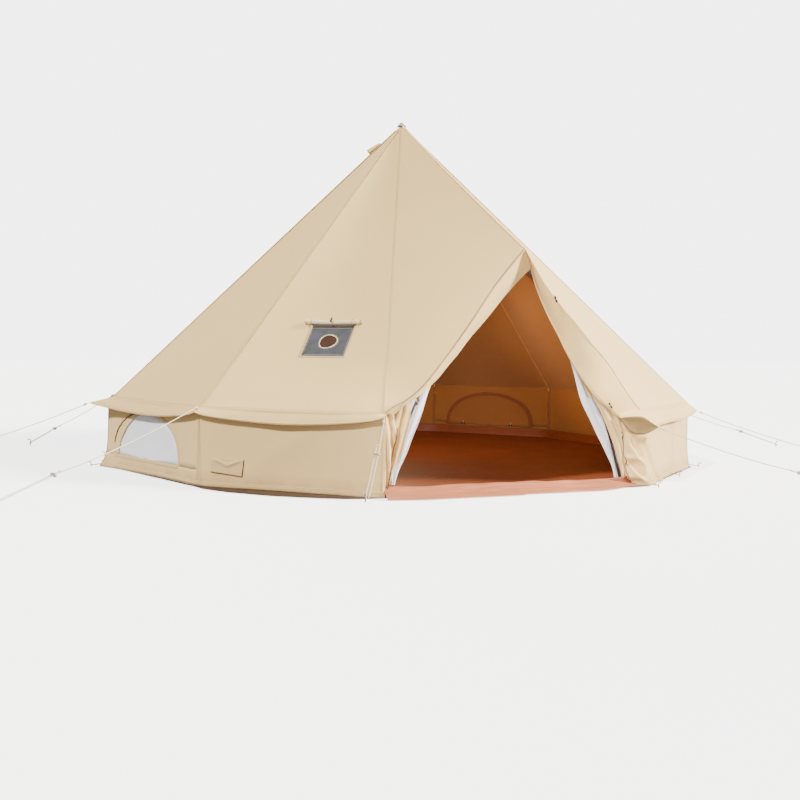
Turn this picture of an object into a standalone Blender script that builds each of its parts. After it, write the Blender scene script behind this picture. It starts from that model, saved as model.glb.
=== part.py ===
"""Bell tent: a canvas cone on one centre pole, with a low wall, an A-frame door and pegged guy ropes.

Metres, +Z up. The origin is on the ground under the centre pole, and the door faces -Y.
"""
import math

import bmesh
import bpy
from mathutils import Matrix, Vector

# Driving dimensions
WALL_RADIUS = 2.50
EAVE_HEIGHT = 0.55
CONE_HEIGHT = 2.935
GORES = 10
DOOR_BAY = math.radians(47.2)
GORE_ANGLE = (2 * math.pi - DOOR_BAY) / GORES
CANVAS = 0.003
GAP = 0.0003
CLEARANCE = 0.006
WALL_TOP_GAP = 0.016
WALL_EDGE_MARGIN = 0.035

# Roof
CROWN_RADIUS = 0.035
VALANCE_TIP = (2.62, 0.50)
VALANCE_TIPS = {0: (2.55, 0.53), 1: (2.56, 0.515), 2: (2.68, 0.505), 9: (2.59, 0.475), 10: (2.64, 0.435)}
VALANCE_MID_FLARE = 0.05
VALANCE_MID_HEIGHT = 0.445
HOOD_END = Vector((0.0, -2.30, 1.67))
HOOD_SAG = 0.05
HOOD_SAG_SHARES = (0.35, 0.7)
HEM_INSET_Y = -2.17
HEM_POINTS = ((0.0, 1.53), (0.24, 1.20), (0.55, 0.83), (0.82, 0.58))

# Groundsheet
SHEET = 0.003
LIP_HEIGHT = 0.09
DOOR_LIP_HEIGHT = 0.055
APRON = 0.06
APRON_DOOR = 0.13
APRON_FRONT_BAY = 0.22

# Wall openings
WINDOW_BAYS = {1: "left_front", 3: "left_rear", 6: "right_rear", 8: "right_front"}
OPEN_WINDOW = "left_front"
WINDOW_SHIFTS = {"left_front": -0.07}
WINDOW_WIDTH = 0.96
WINDOW_HEIGHT = 0.345
WINDOW_SILL = 0.112
WINDOW_ARC_STEPS = 12
WINDOW_ARC_POWER = 0.8
WINDOW_CUT_DEPTH = 0.05
MESH_THICKNESS = 0.0015
COVER_OVERLAP = 0.02
COVER_OPEN = math.radians(100)
PORT_SIZE = (0.25, 0.108)
PORT_TOP = 0.205
PORT_FROM_SEAM = 0.228

# Poles
POLE_RADIUS = 0.016
POLE_WALL = 0.0015
POLE_JOINT_HEIGHT = 1.46
SPIGOT_LENGTH = 0.12
POLE_SIDES = 24
FOOT_RADIUS = 0.05
FOOT_HEIGHT = 0.03
FOOT_RIM_HEIGHT = 0.008
FOOT_NECK_RADIUS = 0.026
FOOT_SOCKET_FLOOR = 0.010
FOOT_SOCKET_PLAY = 0.0005
CAP_DROP = 0.018
CAP_PROFILE = ((0.040, 0.0), (0.040, 0.006), (0.018, 0.028), (0.008, 0.038))
LEG_RADIUS = 0.0095
LEG_APEX = Vector((0.0, -2.14, 1.66))
LEG_BASE_X = 0.93
LEG_BOW = 0.13
LEG_STEPS = 12
LEG_ELBOW_SHARE = 0.09
LEG_GAP_SHARE = 0.0006
LEG_FOOT_STRAIGHT = 0.02
ELBOW_RADIUS = 0.013
ELBOW_SHARES = (1.0, 0.66, 0.33)

# Door leaves, tied back: (height, middle x, width) of each level
CANVAS_LEAF = ((0.10, 0.855, 0.15), (0.26, 0.835, 0.13), (0.40, 0.815, 0.09), (0.51, 0.795, 0.04))
MESH_LEAF = ((0.10, 0.83, 0.15), (0.36, 0.755, 0.12), (0.62, 0.665, 0.08), (0.84, 0.575, 0.04))
CANVAS_LEAF_DEPTH = (-2.262, 0.034)
MESH_LEAF_DEPTH = (-2.10, 0.028)

# Stove jack, on the first gore left of the door
JACK_HEIGHT = 1.024
JACK_ACROSS = 0.075
JACK_SIZE = (0.33, 0.30)
JACK_THICKNESS = 0.004
ROLL_RADIUS = 0.018
ROLL_LENGTH = 0.42
SEAM_LIFT = 0.006
SEAM_ABOVE_PATCH = 0.012

# Vents
VENT_AZIMUTHS = {"left": math.radians(112), "right": math.radians(248)}
VENT_RADIUS = 0.31
VENT_LENGTH = 0.13
VENT_WIDTH = 0.12
VENT_LIFT = 0.045
VENT_CLEAR = 0.004
VENT_PROFILE = ((-1.0, 0.0), (-0.6, 0.55), (0.0, 1.0), (0.6, 0.55), (1.0, 0.0))
VENT_STATIONS = ((0.0, 0.25), (0.5, 0.7), (1.0, 1.0))

# Guy ropes
ROPE_DIAMETER = 0.007
ROPE_START_GAP = 0.010
ROPE_START_DROP = 0.004
ROPE_STARTS = {1: (2.516, 0.553)}
STRAND_SPREAD = 0.026
TAIL = 0.05
ROPE_SAG = 0.02
PEG_RADIUS_FRONT = 4.1
PEG_RADIUS_BACK = 3.45
PEG_TURNS = {1: math.radians(2.5)}
RIGHT_DOOR_PEG_RADIUS = 3.85
RIGHT_DOOR_PEG_AZIMUTH = math.radians(325)
LEFT_DOOR_PEG = Vector((-1.17, -2.436, 0.0))
ROPE_END_HEIGHT = 0.022
SLIDER_SHARE = 0.70
SLIDER_SHARE_SHORT = 0.45
SLIDER_SIZE = (0.013, 0.013, 0.008)
SLIDER_HOLE = 0.0055
PEG_ROD = 0.0045
STEEP_PEG_OFFSET = 0.022
SLIDER_STRAIGHT = 0.03
PEG_STEM = 0.045
PEG_HOOK = ((0.006, 0.056), (0.018, 0.060), (0.030, 0.052))


def material(name, colour, roughness, metallic=0.0):
    """A Principled material of one colour."""
    made = bpy.data.materials.new(name)
    made.use_nodes = True
    shader = made.node_tree.nodes["Principled BSDF"]
    shader.inputs["Base Color"].default_value = (*colour, 1.0)
    shader.inputs["Roughness"].default_value = roughness
    shader.inputs["Metallic"].default_value = metallic
    made.diffuse_color = (*colour, 1.0)
    return made


def add(name, mesh, look, frame=None):
    """A named object at a frame, with its material."""
    obj = bpy.data.objects.new(name, mesh)
    bpy.context.scene.collection.objects.link(obj)
    if look:
        mesh.materials.clear()
        mesh.materials.append(look)
    if frame:
        obj.matrix_world = frame
    return obj


def loft(name, rings, look, frame=None, closed=False, smooth_angle=None):
    """A solid through rings of equally many points, capped, or joined end to start where closed."""
    bm = bmesh.new()
    made = [[bm.verts.new(point) for point in ring] for ring in rings]
    count = len(made[0])
    pairs = list(zip(made, made[1:]))
    if closed:
        pairs.append((made[-1], made[0]))
    else:
        bm.faces.new(made[0])
        bm.faces.new(made[-1])
    for low, high in pairs:
        for i in range(count):
            j = (i + 1) % count
            bm.faces.new((low[i], low[j], high[j], high[i]))
    bmesh.ops.recalc_face_normals(bm, faces=bm.faces)
    mesh = bpy.data.meshes.new(name)
    bm.to_mesh(mesh)
    bm.free()
    if smooth_angle:
        mesh.shade_smooth()
        mesh.set_sharp_from_angle(angle=smooth_angle)
    return add(name, mesh, look, frame)


def slab(name, outline, low, high, look, frame=None):
    """A flat plate: an outline of (x, z) points between y = low and y = high."""
    rings = [[Vector((x, y, z)) for x, z in outline] for y in (low, high)]
    return loft(name, rings, look, frame)


def rod(name, points, radius, look):
    """A round rod along a line of points, with flat ends."""
    curve = bpy.data.curves.new(name, "CURVE")
    curve.dimensions = "3D"
    curve.bevel_depth = radius
    curve.bevel_resolution = 2
    curve.use_fill_caps = True
    spline = curve.splines.new("POLY")
    spline.points.add(len(points) - 1)
    for target, point in zip(spline.points, points):
        target.co = (*point, 1.0)
    return add(name, curve, look)


def circle(radius, z, sides=POLE_SIDES):
    turns = [2 * math.pi * i / sides for i in range(sides)]
    return [Vector((radius * math.cos(turn), radius * math.sin(turn), z)) for turn in turns]


def at_azimuth(angle, radius, height):
    """A point at an angle from the door's direction, turning towards -X."""
    return Vector((-radius * math.sin(angle), -radius * math.cos(angle), height))


def corner_angle(k):
    return DOOR_BAY / 2 + k * GORE_ANGLE


def corner(k, height=0.0):
    return at_azimuth(corner_angle(k), WALL_RADIUS, height)


def valance_tip(k, out=0.0, drop=0.0):
    """The point that the valance is drawn out to at corner k, or one beyond it."""
    radius, height = VALANCE_TIPS.get(k, VALANCE_TIP)
    return at_azimuth(corner_angle(k), radius + out, height - drop)


def offset_ring(distances):
    """The wall's polygon with each edge moved out: 11 corners, edge k from corner k, edge 10 the door."""
    count = GORES + 1
    lines = []
    for k in range(count):
        a, b = corner(k), corner((k + 1) % count)
        along = (b - a).normalized()
        outward = Vector((along.y, -along.x, 0.0))
        if outward.dot(a + b) < 0:
            outward.negate()
        lines.append((a + outward * distances[k], along))
    ring = []
    for k in range(count):
        (p, d), (q, e) = lines[k - 1], lines[k]
        share = ((q - p).x * e.y - (q - p).y * e.x) / (d.x * e.y - d.y * e.x)
        ring.append(p + d * share)
    return ring


def with_middles(ring, bulges=None):
    """The ring with a point at the middle of each edge, pushed out by that edge's bulge."""
    made = []
    for k, point in enumerate(ring):
        after = ring[(k + 1) % len(ring)]
        middle = (point + after) / 2
        if bulges:
            middle += middle.normalized() * bulges[k]
        made += [point.copy(), middle]
    return made


def at_height(ring, height):
    return [Vector((p.x, p.y, height)) for p in ring]


def bay_frame(k, height=0.0):
    """The frame of wall bay k: X to the right as seen from outside, Y inwards, Z up."""
    a, b = corner(k), corner(k + 1)
    x = (a - b).normalized()
    z = Vector((0, 0, 1))
    y = z.cross(x)
    origin = (a + b) / 2 + z * height
    return Matrix.Translation(origin) @ Matrix((x, y, z)).transposed().to_4x4()


def window_frame(k, side, height):
    return bay_frame(k, height) @ Matrix.Translation((WINDOW_SHIFTS.get(side, 0.0), 0, 0))


def gore_frame(k, across, height, out=0.0):
    """The frame of roof gore k at a height: X right from outside, Y into the tent, Z up the slope."""
    a, b = corner(k, EAVE_HEIGHT), corner(k + 1, EAVE_HEIGHT)
    apex = Vector((0, 0, CONE_HEIGHT))
    x = (a - b).normalized()
    middle = (a + b) / 2
    z = (apex - middle).normalized()
    y = z.cross(x)
    origin = middle + z * ((height - EAVE_HEIGHT) / z.z) + x * across - y * out
    return Matrix.Translation(origin) @ Matrix((x, y, z)).transposed().to_4x4()


def mirrored(point, side):
    return Vector((point[0] * side, point[1], point[2]))


def window_outline(grow=0.0):
    """A flat-bottomed arch as (x, z) points from the sill up."""
    half = WINDOW_WIDTH / 2 + grow
    points = []
    for i in range(WINDOW_ARC_STEPS + 1):
        angle = math.pi * i / WINDOW_ARC_STEPS
        rise = (WINDOW_HEIGHT + grow) * math.sin(angle) ** WINDOW_ARC_POWER
        points.append((half * math.cos(angle), rise))
    return points


def leg_point(share, side):
    """A point on a door leg, bowed outwards between the apex and the ground."""
    base = Vector((LEG_BASE_X, LEG_APEX.y, SHEET + GAP))
    along = base - LEG_APEX
    normal = Vector((-along.z, 0.0, along.x)).normalized()
    point = LEG_APEX + along * share + normal * (LEG_BOW * 4 * share * (1 - share))
    return mirrored(point, side)


def build_roof(look):
    """The roof: ten flat gores, the hood over the door, the valance, and the hem round the door."""
    bm = bmesh.new()
    slope = (CONE_HEIGHT - EAVE_HEIGHT) / WALL_RADIUS
    ridge_slope = (CONE_HEIGHT - HOOD_END.z) / -HOOD_END.y
    crown_z = CONE_HEIGHT - slope * CROWN_RADIUS
    corners = range(GORES + 1)
    top = [bm.verts.new(at_azimuth(corner_angle(k), CROWN_RADIUS, crown_z)) for k in corners]
    eave = [bm.verts.new(corner(k, EAVE_HEIGHT)) for k in corners]
    tips = [bm.verts.new(valance_tip(k)) for k in corners]
    for k in range(GORES):
        middle = (eave[k].co + eave[k + 1].co) / 2
        eave_mid = bm.verts.new(middle)
        hem = middle + Vector((middle.x, middle.y, 0)).normalized() * VALANCE_MID_FLARE
        hem_mid = bm.verts.new((hem.x, hem.y, VALANCE_MID_HEIGHT))
        bm.faces.new((top[k], eave[k], eave_mid, eave[k + 1], top[k + 1]))
        bm.faces.new((eave[k], tips[k], hem_mid, eave_mid))
        bm.faces.new((eave_mid, hem_mid, tips[k + 1], eave[k + 1]))
    ridge_top = bm.verts.new((0, -CROWN_RADIUS, CONE_HEIGHT - ridge_slope * CROWN_RADIUS))
    hood = bm.verts.new(HOOD_END)
    hem_apex = bm.verts.new((0, HEM_INSET_Y, HEM_POINTS[0][1]))
    for side, k in ((-1, 0), (1, GORES)):
        end = eave[k].co
        along = end - HOOD_END
        inwards = Vector((-side, 0, -1)).normalized()
        crease = [hood]
        for share in HOOD_SAG_SHARES:
            crease.append(bm.verts.new(HOOD_END + along * share + inwards * HOOD_SAG))
        crease.append(eave[k])
        inner = [hem_apex]
        for x, z in HEM_POINTS[1:]:
            inner.append(bm.verts.new((side * x, HEM_INSET_Y, z)))
        bm.faces.new((ridge_top, hood, crease[1], top[k]))
        bm.faces.new((top[k], crease[1], crease[2]))
        bm.faces.new((top[k], crease[2], eave[k]))
        for i in range(len(crease) - 1):
            bm.faces.new((crease[i], crease[i + 1], inner[i + 1]))
            bm.faces.new((crease[i], inner[i + 1], inner[i]))
    bmesh.ops.recalc_face_normals(bm, faces=bm.faces)
    mesh = bpy.data.meshes.new("roof_canvas")
    bm.to_mesh(mesh)
    bm.free()
    roof = add("roof_canvas", mesh, look)
    skin = roof.modifiers.new("canvas", "SOLIDIFY")
    skin.thickness = CANVAS
    skin.offset = -1
    skin.use_even_offset = True
    return roof


def build_wall(look):
    """The low wall: one strip of canvas from door edge to door edge, with four window openings."""
    bottom = SHEET + GAP
    top = EAVE_HEIGHT - WALL_TOP_GAP
    count = GORES + 1
    rings = [offset_ring([-CLEARANCE - depth] * count) for depth in (0.0, CANVAS)]
    ends = []
    for ring in rings:
        left, right = ring[0], ring[-1]
        edge_x = LEG_BASE_X + WALL_EDGE_MARGIN
        path = [Vector((-edge_x, left.y, 0)), *ring, Vector((edge_x, right.y, 0))]
        ends.append(path)
    outer, inner = ends
    sections = []
    for a, b in zip(outer, inner):
        sections.append(
            [
                Vector((a.x, a.y, bottom)),
                Vector((a.x, a.y, top)),
                Vector((b.x, b.y, top)),
                Vector((b.x, b.y, bottom)),
            ]
        )
    wall = loft("wall_canvas", sections, look)
    for k, side in WINDOW_BAYS.items():
        depth = WINDOW_CUT_DEPTH
        place = window_frame(k, side, WINDOW_SILL)
        cutter = slab("cut_" + side, window_outline(), -depth, depth, None, place)
        cutter.hide_render = True
        cutter.display_type = "WIRE"
        hole = wall.modifiers.new("window_" + side, "BOOLEAN")
        hole.operation = "DIFFERENCE"
        hole.solver = "EXACT"
        hole.object = cutter
    return wall


def build_windows(mesh_look, canvas_look):
    """Insect mesh in each window, and the canvas cover hinged at its sill inside the wall."""
    for k, side in WINDOW_BAYS.items():
        middle = CLEARANCE + CANVAS / 2
        outline = window_outline(-GAP * 2)
        slab(
            "window_mesh_" + side,
            outline,
            middle - MESH_THICKNESS / 2,
            middle + MESH_THICKNESS / 2,
            mesh_look,
            window_frame(k, side, WINDOW_SILL + GAP),
        )
        frame = window_frame(k, side, WINDOW_SILL - COVER_OVERLAP / 2)
        hinge = frame @ Matrix.Translation((0, CLEARANCE + CANVAS + GAP + CANVAS / 2, 0))
        if side == OPEN_WINDOW:
            hinge = hinge @ Matrix.Rotation(-COVER_OPEN, 4, "X")
        cover = window_outline(COVER_OVERLAP)
        slab("window_cover_" + side, cover, -CANVAS / 2, CANVAS / 2, canvas_look, hinge)


def build_groundsheet(look):
    """The floor: an apron under the wall's foot and a raised lip just inside it."""
    count = GORES + 1
    aprons = [APRON] * count
    bulges = [0.0] * count
    bulges[0] = APRON_FRONT_BAY - APRON
    bulges[GORES] = APRON_DOOR - APRON
    outside = with_middles(offset_ring(aprons), bulges)
    lip_out = with_middles(offset_ring([-CLEARANCE - CANVAS - GAP] * count))
    lip_in = with_middles(offset_ring([-CLEARANCE - CANVAS - GAP - SHEET] * count))
    heights = [LIP_HEIGHT] * (2 * count)
    heights[2 * GORES + 1] = DOOR_LIP_HEIGHT
    door_ends = (0, 2 * GORES)
    for i in door_ends:
        heights[i] = LIP_HEIGHT
    lip_top_out = [Vector((p.x, p.y, h)) for p, h in zip(lip_out, heights)]
    lip_top_in = [Vector((p.x, p.y, h)) for p, h in zip(lip_in, heights)]
    rings = [
        at_height(outside, 0.0),
        at_height(outside, SHEET),
        at_height(lip_out, SHEET),
        lip_top_out,
        lip_top_in,
        at_height(lip_in, SHEET),
    ]
    return loft("groundsheet", rings, look)


def build_centre_pole(steel, rubber, cap_look):
    """Two tubes plugged together on a foot, under the crown cap."""
    floor = SHEET + GAP
    bore = POLE_RADIUS - POLE_WALL
    smooth = math.radians(40)
    socket = POLE_RADIUS + FOOT_SOCKET_PLAY
    foot = [
        circle(FOOT_RADIUS, floor),
        circle(FOOT_RADIUS, floor + FOOT_RIM_HEIGHT),
        circle(FOOT_NECK_RADIUS, floor + FOOT_HEIGHT),
        circle(socket, floor + FOOT_HEIGHT),
        circle(socket, floor + FOOT_SOCKET_FLOOR),
    ]
    loft("centre_pole_foot", foot, rubber, smooth_angle=smooth)
    base = floor + FOOT_SOCKET_FLOOR + GAP
    lower = [
        circle(POLE_RADIUS, base),
        circle(POLE_RADIUS, POLE_JOINT_HEIGHT),
        circle(bore, POLE_JOINT_HEIGHT),
        circle(bore, base),
    ]
    loft("centre_pole_lower", lower, steel, closed=True, smooth_angle=smooth)
    spigot = bore - GAP
    spigot_bore = spigot - POLE_WALL
    joint = POLE_JOINT_HEIGHT + GAP
    cap_bottom = CONE_HEIGHT - CAP_DROP
    pole_top = cap_bottom - GAP
    upper = [
        circle(spigot, joint - SPIGOT_LENGTH),
        circle(spigot, joint),
        circle(POLE_RADIUS, joint),
        circle(POLE_RADIUS, pole_top),
        circle(spigot_bore, pole_top),
        circle(spigot_bore, joint - SPIGOT_LENGTH),
    ]
    loft("centre_pole_upper", upper, steel, closed=True, smooth_angle=smooth)
    cap = [circle(radius, cap_bottom + rise) for radius, rise in CAP_PROFILE]
    loft("crown_cap", cap, cap_look, smooth_angle=smooth)


def build_door_frame(steel):
    """Two bowed legs plugged into an elbow at the top."""
    for side, name in ((-1, "left"), (1, "right")):
        reach = 1 - LEG_ELBOW_SHARE
        points = [leg_point(LEG_ELBOW_SHARE + reach * i / LEG_STEPS, side) for i in range(LEG_STEPS + 1)]
        lifted = points[-1] + Vector((0, 0, LEG_FOOT_STRAIGHT))
        points = points[:-1] + [lifted, points[-1]]
        rod("door_pole_" + name, points, LEG_RADIUS, steel)
    share = LEG_ELBOW_SHARE - LEG_GAP_SHARE
    left = [leg_point(share * step, -1) for step in ELBOW_SHARES]
    right = [leg_point(share * step, 1) for step in reversed(ELBOW_SHARES)]
    rod("door_pole_apex", left + [LEG_APEX.copy()] + right, ELBOW_RADIUS, steel)


def build_leaf(name, levels, depth, side, look):
    """A gathered door leaf: flattened rings between the sill and its tie, on its hinge line."""
    y, thickness = depth
    rings = []
    for height, middle, width in levels:
        ring = []
        for i in range(12):
            angle = 2 * math.pi * i / 12
            x = side * (middle + width / 2 * math.cos(angle))
            ring.append(Vector((x, y + thickness / 2 * math.sin(angle), height)))
        rings.append(ring)
    low, high = levels[0], levels[-1]
    hinge_low = Vector((side * (low[1] + low[2] / 2), y, low[0]))
    hinge_high = Vector((side * (high[1] + high[2] / 2), y, high[0]))
    z = (hinge_high - hinge_low).normalized()
    x = Vector((0, 1, 0)).cross(z)
    frame = Matrix.Translation(hinge_low) @ Matrix((x, Vector((0, 1, 0)), z)).transposed().to_4x4()
    back = frame.inverted()
    local = [[back @ point for point in ring] for ring in rings]
    return loft(name, local, look, frame, smooth_angle=math.radians(60))


def build_stove_jack(patch_look, canvas_look):
    """The heat-proof patch, and its rain flap rolled up above it."""
    width, height = JACK_SIZE
    frame = gore_frame(0, JACK_ACROSS, JACK_HEIGHT, GAP)
    half = [
        (-width / 2, -height / 2),
        (width / 2, -height / 2),
        (width / 2, height / 2),
        (-width / 2, height / 2),
    ]
    slab("stove_jack_patch", half, -JACK_THICKNESS, 0.0, patch_look, frame)
    seam = frame @ Matrix.Translation((0, -SEAM_LIFT, height / 2 + SEAM_ABOVE_PATCH))
    centre = Vector((0, SEAM_LIFT - ROLL_RADIUS - GAP, ROLL_RADIUS))
    rings = []
    for x in (-ROLL_LENGTH / 2, ROLL_LENGTH / 2):
        rings.append([centre + Vector((x, p.x, p.y)) for p in circle(ROLL_RADIUS, 0.0, 16)])
    loft("stove_jack_flap", rings, canvas_look, seam, smooth_angle=math.radians(40))


def build_cable_port(look):
    """The cable port's flap, hinged at its top edge on the outside of the first bay."""
    width, height = PORT_SIZE
    seam_x = (corner(0) - corner(1)).length / 2
    x = -seam_x + PORT_FROM_SEAM
    frame = bay_frame(0, PORT_TOP) @ Matrix.Translation((x, CLEARANCE - GAP - CANVAS / 2, 0))
    outline = [(-width / 2, -height), (width / 2, -height), (width / 2, 0), (-width / 2, 0)]
    slab("cable_flap", outline, -CANVAS / 2, CANVAS / 2, look, frame)


def build_vents(look):
    """A small peaked hood over each vent near the crown."""
    slope = (CONE_HEIGHT - EAVE_HEIGHT) / WALL_RADIUS
    for name, azimuth in VENT_AZIMUTHS.items():
        out = at_azimuth(azimuth, 1.0, 0.0)
        down = (out - Vector((0, 0, slope))).normalized()
        side = Vector((0, 0, 1)).cross(out).normalized()
        up = side.cross(down)
        if up.z < 0:
            up.negate()
        top_radius = VENT_RADIUS - VENT_LENGTH
        start = at_azimuth(azimuth, top_radius, CONE_HEIGHT - slope * top_radius) + up * VENT_CLEAR
        rings = []
        for share, grow in VENT_STATIONS:
            outer = []
            inner = []
            for across, lift in VENT_PROFILE:
                base = start + down * (VENT_LENGTH * share) + side * (across * grow * VENT_WIDTH / 2)
                outer.append(base + up * (lift * grow * VENT_LIFT + CANVAS))
                inner.append(base + up * (lift * grow * VENT_LIFT))
            rings.append(outer + inner[::-1])
        loft("vent_hood_" + name, rings, look)


def guy_ends(k):
    """Where guy rope k starts at the eave and the foot of its peg."""
    if k in ROPE_STARTS:
        start = at_azimuth(corner_angle(k), *ROPE_STARTS[k])
    else:
        start = valance_tip(k, ROPE_START_GAP, ROPE_START_DROP)
    if k == 0:
        return start, LEFT_DOOR_PEG.copy()
    if k == GORES:
        return start, at_azimuth(RIGHT_DOOR_PEG_AZIMUTH, RIGHT_DOOR_PEG_RADIUS, 0.0)
    radius = PEG_RADIUS_BACK if 3 <= k <= GORES - 3 else PEG_RADIUS_FRONT
    return start, at_azimuth(corner_angle(k) + PEG_TURNS.get(k, 0.0), radius, 0.0)


def guy_layout(k):
    """Rope k: its start, its end at the peg, its direction, its sideways direction, its slider share."""
    start, peg = guy_ends(k)
    end = peg + Vector((0, 0, ROPE_END_HEIGHT))
    along = (end - start).normalized()
    across = Vector((0, 0, 1)).cross(along).normalized()
    return start, end, along, across, SLIDER_SHARE_SHORT if k == 0 else SLIDER_SHARE


def rope_route(k):
    """The rope's points: eave, slider, round the peg, back through the slider, and a short tail."""
    start, end, along, across, share = guy_layout(k)
    length = (end - start).length
    half = across * (STRAND_SPREAD / 2)
    slider = start + (end - start) * share
    points = [start]
    for step in (0.25, 0.5, 0.75):
        sag = Vector((0, 0, -ROPE_SAG * 4 * step * (1 - step) * length * share))
        points.append(start + (slider + half - start) * step + sag)
    straight = along * SLIDER_STRAIGHT
    points += [slider + half - straight, slider + half + straight]
    bend = end - along * (STRAND_SPREAD / 2)
    for step in (0.5, 1.0):
        points.append(slider + half + straight + (bend - slider - straight) * step)
    for angle in (45, 90, 135):
        turn = math.radians(angle)
        points.append(bend + half * math.cos(turn) + along * (STRAND_SPREAD / 2 * math.sin(turn)))
    for step in (1.0, 0.5):
        points.append(slider - half + straight + (bend - slider - straight) * step)
    points += [slider - half + straight, slider - half - along * TAIL]
    return points


def build_slider_mesh():
    """A flat bar with two round holes: one half round each hole, mirrored and extruded."""
    half_width, half_height, thickness = SLIDER_SIZE
    bm = bmesh.new()
    sides = 8
    for direction in (-1, 1):
        centre_x = direction * STRAND_SPREAD / 2
        inner = []
        outer = []
        for i in range(sides):
            angle = 2 * math.pi * i / sides
            c, s = math.cos(angle), math.sin(angle)
            inner.append(bm.verts.new((centre_x + SLIDER_HOLE * c, SLIDER_HOLE * s, -thickness / 2)))
            reach = max(abs(c) / half_width, abs(s) / half_height)
            outer.append(bm.verts.new((centre_x + c / reach, s / reach, -thickness / 2)))
        for i in range(sides):
            j = (i + 1) % sides
            bm.faces.new((inner[i], outer[i], outer[j], inner[j]))
    bmesh.ops.remove_doubles(bm, verts=bm.verts, dist=0.00001)
    bmesh.ops.recalc_face_normals(bm, faces=bm.faces)
    copy = bmesh.ops.extrude_face_region(bm, geom=list(bm.faces), use_keep_orig=True)
    moved = [item for item in copy["geom"] if isinstance(item, bmesh.types.BMVert)]
    bmesh.ops.translate(bm, verts=moved, vec=(0, 0, thickness))
    bmesh.ops.recalc_face_normals(bm, faces=bm.faces)
    mesh = bpy.data.meshes.new("guy_slider")
    bm.to_mesh(mesh)
    bm.free()
    return mesh


def build_guys(rope_look, slider_look, steel):
    """Eleven guy ropes, each with its slider and its peg."""
    slider_mesh = build_slider_mesh()
    for k in range(GORES + 1):
        number = f"{k + 1:02d}"
        start, end, along, across, share = guy_layout(k)
        rod("guy_rope_" + number, rope_route(k), ROPE_DIAMETER / 2, rope_look)
        up = along.cross(across)
        turn = Matrix((across, up, along)).transposed().to_4x4()
        if turn.determinant() < 0:
            turn = Matrix((across, -up, along)).transposed().to_4x4()
        place = Matrix.Translation(start + (end - start) * share) @ turn
        add("guy_slider_" + number, slider_mesh, slider_look, place)
        out = Vector((along.x, along.y, 0)).normalized()
        inside = end - along * (STRAND_SPREAD / 2)
        foot = Vector((inside.x, inside.y, 0))
        if k == 0:
            foot += out * STEEP_PEG_OFFSET
        hook = [foot, foot + Vector((0, 0, PEG_STEM))]
        hook += [foot + out * reach + Vector((0, 0, rise)) for reach, rise in PEG_HOOK]
        rod("guy_peg_" + number, hook, PEG_ROD, steel)


def main():
    for obj in list(bpy.data.objects):
        bpy.data.objects.remove(obj)
    canvas = material("cream_canvas", (0.72, 0.61, 0.46), 0.9)
    wall_canvas = material("wall_canvas", (0.66, 0.54, 0.38), 0.9)
    cover_canvas = material("cover_canvas", (0.52, 0.34, 0.16), 0.9)
    mesh_net = material("white_mesh", (0.62, 0.62, 0.65), 0.8)
    sheet = material("brown_groundsheet", (0.22, 0.09, 0.035), 0.55)
    steel = material("galvanised_steel", (0.55, 0.55, 0.56), 0.35, 1.0)
    rubber = material("black_rubber", (0.03, 0.03, 0.03), 0.7)
    cap = material("grey_crown", (0.35, 0.34, 0.32), 0.7)
    silicone = material("grey_silicone", (0.27, 0.29, 0.31), 0.6)
    rope = material("cream_rope", (0.68, 0.62, 0.50), 0.85)
    plastic = material("slider_plastic", (0.10, 0.09, 0.08), 0.5)

    build_roof(canvas)
    build_wall(wall_canvas)
    build_windows(mesh_net, cover_canvas)
    build_groundsheet(sheet)
    build_centre_pole(steel, rubber, cap)
    build_door_frame(steel)
    for side, name in ((-1, "left"), (1, "right")):
        build_leaf("door_flap_" + name, CANVAS_LEAF, CANVAS_LEAF_DEPTH, side, canvas)
        build_leaf("mesh_door_" + name, MESH_LEAF, MESH_LEAF_DEPTH, side, mesh_net)
    build_stove_jack(silicone, canvas)
    build_cable_port(wall_canvas)
    build_vents(canvas)
    build_guys(rope, plastic, steel)


main()
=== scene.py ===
"""Bell tent: detailed canvas, net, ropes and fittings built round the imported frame."""
import math

import bmesh
import bpy
from mathutils import Matrix, Vector, noise


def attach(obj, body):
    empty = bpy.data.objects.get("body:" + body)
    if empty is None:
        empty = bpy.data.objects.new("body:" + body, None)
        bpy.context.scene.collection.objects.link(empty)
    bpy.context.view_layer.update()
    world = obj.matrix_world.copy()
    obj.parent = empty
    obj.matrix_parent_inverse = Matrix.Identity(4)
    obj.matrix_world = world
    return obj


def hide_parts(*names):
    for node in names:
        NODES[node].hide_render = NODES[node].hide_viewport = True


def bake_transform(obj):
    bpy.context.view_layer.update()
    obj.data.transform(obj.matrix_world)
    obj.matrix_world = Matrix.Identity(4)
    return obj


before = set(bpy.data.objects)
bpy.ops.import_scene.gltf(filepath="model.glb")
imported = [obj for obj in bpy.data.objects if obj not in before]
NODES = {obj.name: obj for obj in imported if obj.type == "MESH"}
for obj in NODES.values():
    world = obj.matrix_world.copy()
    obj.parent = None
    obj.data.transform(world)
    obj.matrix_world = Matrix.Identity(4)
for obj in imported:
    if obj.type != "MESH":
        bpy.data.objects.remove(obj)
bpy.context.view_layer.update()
PI = math.pi
UP = Vector((0, 0, 1))

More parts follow.
